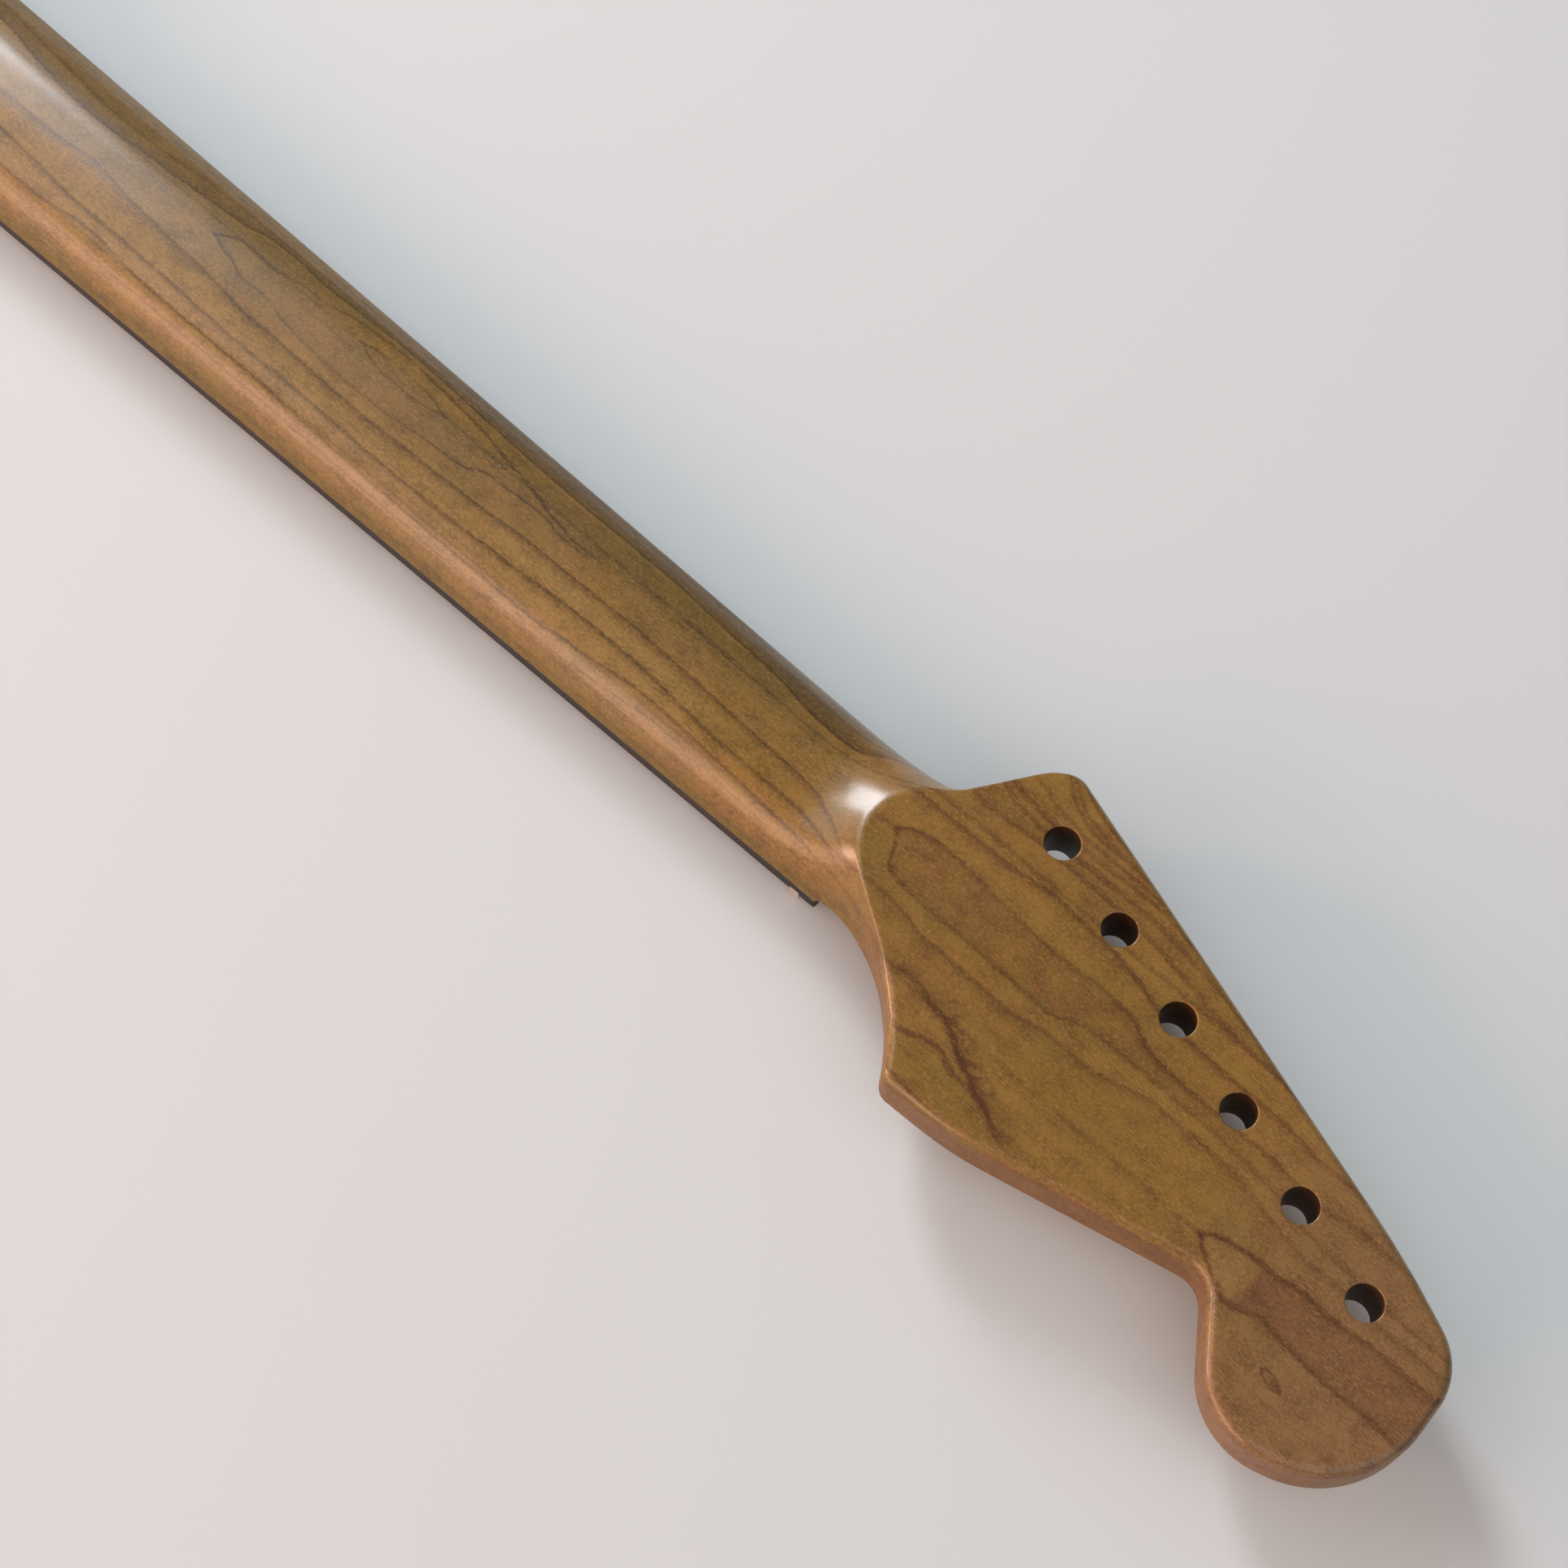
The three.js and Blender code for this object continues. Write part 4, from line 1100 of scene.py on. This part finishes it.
def growth_share(g, along, across, line):
    """How much of its thin line and of its soft shade one growth line lays on a place."""
    (near, far), depth, points = line
    run = GROWTH_END - GROWTH_START
    places = []
    for x, y in points:
        meets = ring_place(y, back_height(x, y))
        places.append(((x - GROWTH_START) / run, 0.5 + meets / (2 * ACROSS_REACH)))
    off = g.math("SUBTRACT", across, g.curve(along, places))
    seen = g.math("MULTIPLY_ADD", off, ACROSS_REACH / PROFILE_REACH, 0.5)
    core, near, far = (width * 0.5 / PROFILE_REACH for width in (CORE_WIDTH, near, far))
    thin = g.curve(seen, [(0, 0), (0.5 - core, CORE_END), (0.5, 1), (0.5 + core, CORE_END), (1, 0)])
    soft = [(0, 0), (0.5 - near * SHADE_REACH, 0), (0.5 - near, SHADE_AT_WIDTH), (0.5, 1)]
    soft += [(0.5 + far, SHADE_AT_WIDTH), (0.5 + far * SHADE_REACH, 0), (1, 0)]
    shade = g.curve(seen, soft)
    strength = g.curve(along, [((x - GROWTH_START) / run, value) for x, value in depth])
    return g.times(thin, strength), g.times(shade, strength), off


def eye_share(g, x, y, wander):
    """The small eye, tilted across the grain: filled softly, with a darker rim."""
    off_x = g.math("SUBTRACT", x, EYE_PLACE[0])
    off_y = g.math("SUBTRACT", y, EYE_PLACE[1])
    cosine, sine = np.cos(EYE_TILT), np.sin(EYE_TILT)
    turned_x = g.plus(g.times(off_x, cosine), g.times(off_y, sine))
    turned_y = g.math("SUBTRACT", g.times(off_y, cosine), g.times(off_x, sine))
    turned_y = g.plus(turned_y, g.times(wander, 0.5))
    share_x = g.math("DIVIDE", turned_x, EYE_LENGTH)
    share_y = g.math("DIVIDE", turned_y, EYE_HEIGHT)
    away = g.vector("LENGTH", g.combine(share_x, share_y, 0.0))
    rim = g.math("ABSOLUTE", g.math("SUBTRACT", away, EYE_RIM))
    fill = g.times(g.span(away, 0.3, 1.0, 0.7, 0.0), g.span(turned_x, -1.0, 2.0, 0.3, 1.0))
    return g.plus(fill, g.span(rim, 0.02, 0.4, 0.5, 0.0))


def bore_share(g, place, z):
    """1 on the walls of the tuner holes, below their rims, where shade is painted."""
    bores = 0.0
    for centre in TUNERS:
        away = g.vector("SUBTRACT", place, (centre[0] - NUT_X, centre[1], 0))
        away = g.vector("LENGTH", g.vector("MULTIPLY", away, (1, 1, 0)))
        wall = g.span(away, TUNER_HOLE_RADIUS + 0.05, TUNER_HOLE_RADIUS + 0.3, 1.0, 0.0)
        bores = g.plus(bores, wall)
    return g.times(bores, g.span(z, -0.7, -0.1, 1.0, 0.0))


def maple_material():
    """Tinted maple under a gloss coat: growth lines, fibres, flecks, end-grain tint, painted shade and
    sheen.
    """
    g = Graph("tinted_maple", MAPLE_GOLD)
    place = g.place((NUT_X, 0, 0))
    x, y, z = g.separate(place)
    # Slow waves that pull every ring about a little, a finer tremble and a saw-toothed edge.
    slow = g.noise(place, (0.03, 0.09, 0.09))
    fine = g.noise(place, (0.3, 0.45, 0.45), 3.0, 0.6)
    teeth = g.noise(place, (1.3, 2.2, 2.2), 2.0, 0.6)
    waves = ((slow, 0.45), (fine, 0.4), (teeth, 0.28))
    wander = g.plus(*[g.span(wave, 0.2, 0.8, -most, most, "LINEAR") for wave, most in waves])
    reach = g.math("SQRT", g.math("MULTIPLY_ADD", y, y, RING_HOLLOW * RING_HOLLOW))
    lift = g.times(g.math("DIVIDE", y, reach), g.times(z, -RING_SLOPE))
    meets = g.plus(y, wander, lift)
    across = g.math("MULTIPLY_ADD", meets, 1 / (2 * ACROSS_REACH), 0.5)
    along = g.span(x, GROWTH_START, GROWTH_END, 0.0, 1.0, "LINEAR")
    lines, shades, offs = 0.0, 0.0, {}
    for name, line in GROWTH_LINES.items():
        thin, shade, offs[name] = growth_share(g, along, across, line)
        lines = g.plus(lines, thin)
        shades = g.plus(shades, shade)

    def between(low, high, soft):
        """1 between two growth lines, falling off over a width in millimetres."""
        width = soft / (2 * ACROSS_REACH)
        return g.times(g.span(offs[low], 0.0, width), g.span(offs[high], -width, 0.0, 1.0, 0.0))

    # Fibres: long thin streaks along the neck, in the rings' own frame.
    ring_frame = g.combine(x, meets, z)
    streak = g.noise(ring_frame, (0.012, 0.9, 0.35), 3.0, 0.6)
    hair = g.noise(ring_frame, (0.06, 4.0, 1.6), 2.0, 0.6)
    rings = g.noise(ring_frame, (0.004, 0.33, 0.02), 4.0, 0.62)
    mottle = g.noise(place, (0.14, 0.2, 0.2), 4.0, 0.62)
    cloud = g.noise(place, (0.018, 0.05, 0.05))
    speck = g.noise(place, (0.9, 2.2, 2.2), 3.0, 0.75)
    dash = g.noise(place, (0.5, 4.2, 4.2), 1.0)
    # Short pale orange flecks lying along the grain.
    fleck_at = g.voronoi(place, (0.3, 1.0, 1.0))
    fleck_patch = g.noise(place, (0.05, 0.12, 0.12))
    fleck = g.times(g.span(fleck_at, 0.02, 0.36, 1.0, 0.0), g.span(fleck_patch, 0.42, 0.64))

    g.lay(g.span(cloud, 0.3, 0.7), MAPLE_OLIVE)
    g.lay(g.times(g.span(streak, 0.42, 0.66), 0.7), MAPLE_RED)
    # The long loop by the nut is a little darker and redder inside.
    loop = g.times(between("loop_lower", "loop_upper", 2.5), g.span(x, 14, 26), g.span(x, 80, 120, 0.5, 0.1))
    g.lay(g.times(loop, g.span(mottle, 0.3, 0.7, 0.5, 1.0)), (114, 71, 30))
    # Past the bold far line the shaft is darker and greener: wood tone, deepened as painted shade.
    far = g.span(offs["far_bold"], 0.0, 4 / (2 * ACROSS_REACH))
    far = g.times(far, g.span(x, -30, 10, 0.8, 0.0), g.span(x, -200, -130, 0.3, 1.0))
    g.lay(far, (82, 58, 17))
    # Between the eye and the bold line the shaft is a shade greener too.
    green = g.times(between("upper_knotty", "far_bold", 4.0), g.span(x, -245, -215, 0.0, 0.4))
    g.lay(g.times(green, g.span(x, -30, 0, 1.0, 0.0)), (92, 72, 26))
    # Painted sheen makes the shaft's near half paler; painted shade makes its crown a little darker.
    shaft = g.span(x, -60, -20, 1.0, 0.0)
    g.lay(g.times(g.span(y, -7, -3, 0.3, 0.0), shaft), (138, 120, 78))
    crown = g.times(g.span(y, -7, -2, 0.0, 0.22), g.span(y, 7, 12, 1.0, 0.0), shaft)
    g.lay(crown, (84, 64, 20))
    # The shaft's sides are greener; the headstock's cut more end grain and take more of the tint.
    normal_z = g.separate(g.add("ShaderNodeNewGeometry").outputs["Normal"])[2]
    side = g.span(g.math("ABSOLUTE", normal_z), 0.1, 0.6, 1.0, 0.0)
    g.lay(g.times(side, g.span(x, 14, 50, 0.8, 0.0)), (108, 88, 28))
    g.lay(g.times(side, g.span(x, 14, 50, 0.0, 0.6)), (108, 66, 26))
    # Towards the tip the wood is greyer and pinker; a dark band starts in the tongue.
    g.lay(g.span(x, 110, 170, 0.0, 0.65), (133, 97, 66))
    tongue = between("tongue_lower", "tongue_upper", 1.0)
    band = g.times(tongue, g.span(g.plus(x, g.times(wander, 1.5)), 142.0, 144.5))
    pale = g.times(tongue, g.span(x, 128, 133), g.span(x, 140, 143, 1.0, 0.0))
    g.lay(g.times(pale, 0.4), (150, 114, 68))
    g.lay(g.times(band, g.span(x, 144, 165, 0.85, 0.5)), MAPLE_TIP)
    # Reddish smudges beside the jagged line.
    blot = g.noise(place, (0.35, 0.5, 0.5), 3.0, 0.7)
    blot_x = g.times(g.span(x, 40, 60), g.span(x, 70, 88, 1.0, 0.0))
    blot_off = g.math("ABSOLUTE", g.math("SUBTRACT", offs["jagged"], 0.6 / ACROSS_REACH))
    blot_y = g.span(blot_off, 0.2 / ACROSS_REACH, 3.0 / ACROSS_REACH, 1.0, 0.0)
    blots = g.times(blot_x, blot_y, g.span(blot, 0.44, 0.6), 0.75)
    g.lay(blots, MAPLE_SMUDGE)
    # The lines' soft shade, pale pores, then everything thin and dark.
    head = g.span(x, -20, 10)
    shades = g.math("MULTIPLY", shades, g.span(x, -20, 10, 0.85, 0.65), use_clamp=True)
    g.lay(shades, g.mix(head, MAPLE_SHAFT_SHADE, MAPLE_SHADE))
    g.lay(g.span(speck, 0.28, 0.5, 0.35, 0.0), (172, 136, 88))
    grain = g.plus(
        g.times(g.span(rings, 0.52, 0.72), 0.16),
        g.span(hair, 0.35, 0.8, 0.0, 0.14),
        g.span(dash, 0.58, 0.74, 0.0, 0.2),
        g.span(mottle, 0.35, 0.7, -0.2, 0.24, "LINEAR"),
        g.span(speck, 0.3, 0.7, -0.26, 0.4, "LINEAR"),
    )
    marks = g.plus(grain, eye_share(g, x, y, wander))
    total = g.math("ADD", g.times(lines, 0.6), marks, use_clamp=True)
    g.lay(total, g.mix(head, MAPLE_SHAFT_DARK, MAPLE_DARK))
    g.lay(g.times(fleck, 0.4), (180, 122, 66))
    # The bare wood inside the tuner holes is painted dark: painted shade in the bores.
    inside = bore_share(g, place, z)
    g.lay(g.times(inside, 0.85), TUNER_BORE_SHADE)
    # The coat carries the crisp gloss, thin on the sides and missing in the bores; the wood below
    # keeps a broad soft sheen.
    thin = g.times(g.span(normal_z, 0.6, 0.95, 0.9, 0.0), g.span(y, 6, 14), shaft)
    bare = g.math("MAXIMUM", inside, g.math("MAXIMUM", thin, g.times(side, 0.85)))
    g.set("Coat Weight", g.math("MULTIPLY_ADD", bare, -0.7, 0.7))
    g.set("Coat Roughness", 0.2)
    g.set("Specular IOR Level", 0.25)
    wear = g.noise(place, (0.04, 0.05, 0.05), 4.0, 0.6)
    pull = g.noise(place, (0.06, 0.09, 0.09))
    g.set("Coat Normal", g.bump(pull, 0.00008, 0.5))
    height = g.plus(g.times(hair, 0.5), g.times(total, -0.6))
    height = g.plus(height, g.plus(g.times(pull, 2.0), g.times(speck, 0.5)))
    return g.finish(g.span(wear, 0.3, 0.7, 0.38, 0.48), height, 0.00006, 0.6)


def dark_wood_material():
    """Near-black oiled wood with open pores along the grain."""
    g = Graph("dark_wood", (20, 13, 10))
    place = g.place()
    streak = g.noise(place, (0.02, 0.8, 0.5), 4.0, 0.6)
    pores = g.noise(place, (0.45, 6.0, 3.0), 2.0, 0.6)
    dust = g.noise(place, (0.3, 0.35, 0.35), 3.0)
    pore = g.span(pores, 0.58, 0.7)
    g.lay(g.span(streak, 0.35, 0.7), (52, 34, 25))
    g.lay(g.times(pore, 0.7), (8, 5, 4))
    g.lay(g.times(g.span(dust, 0.5, 0.8), 0.12), (90, 70, 58))
    height = g.math("MULTIPLY_ADD", pore, -1.0, g.times(streak, 0.3))
    return g.finish(g.span(streak, 0.3, 0.7, 0.48, 0.62), height, 0.00008, 0.6)


def bone_material():
    """Pale grey bone, a little translucent, with faint growth streaks and file marks."""
    g = Graph("pale_bone", (158, 152, 143))
    place = g.place()
    cloud = g.noise(place, (0.6, 0.12, 0.6), 3.0, 0.6)
    marks = g.noise(place, (6.0, 0.3, 3.0))
    g.lay(g.span(cloud, 0.3, 0.7), (178, 172, 162))
    g.lay(g.times(g.span(marks, 0.55, 0.75), 0.25), (128, 118, 104))
    g.set("Subsurface Weight", 0.25)
    g.set("Subsurface Radius", (0.0015, 0.0012, 0.0009))
    return g.finish(g.span(marks, 0.3, 0.7, 0.32, 0.46), marks, 0.00003, 0.5)


PIT_DARKNESS = 0.6


def metal_material(name, bright, dull, roughness, brushed, pits=0.0):
    """Drawn or turned metal: fine marks along one way, duller patches and small pits."""
    g = Graph(name, bright)
    place = g.place()
    marks = g.noise(place, brushed, 3.0, 0.65)
    patch = g.noise(place, (0.25, 0.25, 0.25), 4.0, 0.6)
    pit = g.span(g.voronoi(place, 0.9), 0.05, 0.22, 1.0, 0.0)
    g.lay(g.span(patch, 0.35, 0.75), dull)
    g.lay(g.times(g.span(marks, 0.5, 0.8), 0.3), dull)
    g.lay(g.times(pit, pits), g.mix(PIT_DARKNESS, dull, (0, 0, 0)))
    g.set("Metallic", 1.0)
    rough = g.span(marks, 0.3, 0.7, roughness - 0.06, roughness + 0.08)
    rough = g.plus(rough, g.span(patch, 0.4, 0.8, 0.0, 0.12))
    height = g.math("MULTIPLY_ADD", pit, -pits, g.times(marks, 0.4))
    return g.finish(rough, height, 0.00002, 0.5)


def pearl_material():
    """Pearl-like plastic: swirled pale cells."""
    g = Graph("pearl_plastic", (226, 223, 214))
    place = g.place()
    swirl = g.add("ShaderNodeTexNoise", {"Vector": place, "Scale": 0.5, "Detail": 2.0, "Distortion": 2.5})
    pushed = g.vector("ADD", place, swirl.outputs["Color"])
    cells = g.voronoi(pushed, 0.7)
    sheen = g.noise(pushed, 0.9, 3.0, 0.5, 1.5)
    g.lay(g.span(cells, 0.1, 0.8), (184, 186, 186))
    g.lay(g.times(g.span(sheen, 0.45, 0.7), 0.5), (240, 236, 226))
    g.set("Coat Weight", 0.3)
    return g.finish(g.span(cells, 0.1, 0.8, 0.22, 0.36), sheen, 0.00002, 0.4)


maple = maple_material()
dark_wood = dark_wood_material()
bone = bone_material()
fretwire = metal_material("fretwire", (206, 203, 195), (160, 156, 148), 0.24, (4.0, 0.15, 4.0))
pearl = pearl_material()
brass = metal_material("brass", (196, 160, 92), (140, 104, 56), 0.34, (0.4, 3.0, 3.0), 0.3)
steel = metal_material("drawn_steel", (150, 152, 156), (92, 92, 94), 0.36, (0.1, 3.5, 3.5), 0.4)
dark_steel = metal_material("dark_steel", (70, 72, 76), (34, 35, 38), 0.42, (3.0, 0.6, 0.6), 0.5)

finish_piece(make_neck(), "neck_body", "neck", maple)
finish_piece(make_board(), "neck_body", "fingerboard", dark_wood)
finish_piece(make_nut(), "neck_body", "nut", bone)
for number in range(1, FRET_COUNT + 1):
    finish_piece(make_fret(number), "neck_body", f"fret_{number:02d}", fretwire)
for node in sorted(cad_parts):
    if node.startswith("face_dot"):
        piece = make_face_dot(node.replace("face_dot", "inlay"), *node_box(node))
        finish_piece(piece, "neck_body", node, pearl)
    if node.startswith("side_dot"):
        piece = make_side_dot(node.replace("side_dot", "edge_dot"), *node_box(node))
        finish_piece(piece, "neck_body", node, pearl)
finish_piece(make_adjuster(), "rod", "adjusting_nut", dark_steel)
inner_pieces = {"rear_rod_block": brass, "front_rod_block": brass, "tension_bar": steel, "truss_rod": steel}
for name, material in inner_pieces.items():
    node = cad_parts[name]
    node.data.materials.clear()
    node.data.materials.append(material)

# Floor and lights
FLOOR_GAP = 0.05
FLOOR_REACH = 3000.0
# In linear light, with its opacity
FLOOR_COLOUR = (0.63, 0.65, 0.655, 1)
FLOOR_ROUGHNESS = 0.9
WORLD_STRENGTH = 0.2
floor_z = CROWN_Z - NUT_ABOVE_BOARD - FLOOR_GAP
floor_corners = [(-1, -1), (1, -1), (1, 1), (-1, 1)]
floor_points = [(x * FLOOR_REACH, y * FLOOR_REACH, floor_z) for x, y in floor_corners]
floor = new_object("floor", floor_points, [[0, 1, 2, 3]])
floor_graph = Graph("floor")
floor_graph.set("Base Color", FLOOR_COLOUR)
floor_graph.set("Roughness", FLOOR_ROUGHNESS)
floor.data.materials.append(floor_graph.material)

world = bpy.data.worlds.new("studio")
bpy.context.scene.world = world
world.use_nodes = True
background = world.node_tree.nodes["Background"]
background.inputs["Color"].default_value = (1.0, 1.0, 1.0, 1)
background.inputs["Strength"].default_value = WORLD_STRENGTH

LOOK_AT = Vector((NUT_X, 0, -10)) * MM


def area_light(name, toward, distance, size, power, colour):
    """A soft lamp with four sides, standing off from the nut in a direction and turned to it."""
    data = bpy.data.lights.new(name, "AREA")
    data.shape = "RECTANGLE"
    data.size, data.size_y = size
    data.energy = power
    data.color = colour
    light = bpy.data.objects.new(name, data)
    way = Vector(toward).normalized()
    turn = way.to_track_quat("Z", "Y").to_matrix().to_4x4()
    light.matrix_world = Matrix.Translation(LOOK_AT + way * distance) @ turn
    bpy.context.scene.collection.objects.link(light)


WARM = (1.0, 0.60, 0.46)
COOL = (0.95, 0.97, 1.0)
area_light("window", (-0.78, 0.38, 0.49), 2.4, (0.55, 0.9), 34, (0.92, 0.96, 1.0))
area_light("skylight", (-0.668, 0.23, 0.705), 2.58, (0.5, 0.42), 2.0, COOL)
area_light("sky", (-0.71, -0.14, 0.69), 2.4, (2.2, 1.0), 13.5, COOL)
area_light("lamp", (-0.37, -0.89, 0.26), 2.2, (2.2, 0.9), 30, WARM)
area_light("high_lamp", (-0.22, -0.82, 0.52), 2.2, (1.5, 0.7), 8, (1.0, 0.72, 0.6))
area_light("side_lamp", (-0.84, -0.46, 0.28), 2.2, (0.5, 0.5), 15, WARM)
area_light("fill", (0.60, -0.25, 0.75), 2.2, (2.6, 2.6), 17, (0.93, 0.99, 1.0))
bpy.context.scene.view_settings.view_transform = "Standard"

# Camera
PHOTO_SIDE = 1932
FOCAL_PIXELS = 3400.0
SENSOR = 36.0
CAMERA_PLACE = (581.74, -236.32, 587.73)
CAMERA_TURN = (
    (0.73547903, -0.62519911, 0.26114491),
    (0.67595702, 0.65066843, -0.34599524),
    (0.04639717, 0.43099498, 0.90116071),
)
camera_data = bpy.data.cameras.new("camera")
camera_data.sensor_width = SENSOR
camera_data.lens = FOCAL_PIXELS / PHOTO_SIDE * SENSOR
camera = bpy.data.objects.new("camera", camera_data)
camera.matrix_world = Matrix.Translation(Vector(CAMERA_PLACE) * MM) @ Matrix(CAMERA_TURN).to_4x4()
bpy.context.scene.collection.objects.link(camera)
bpy.context.scene.camera = camera
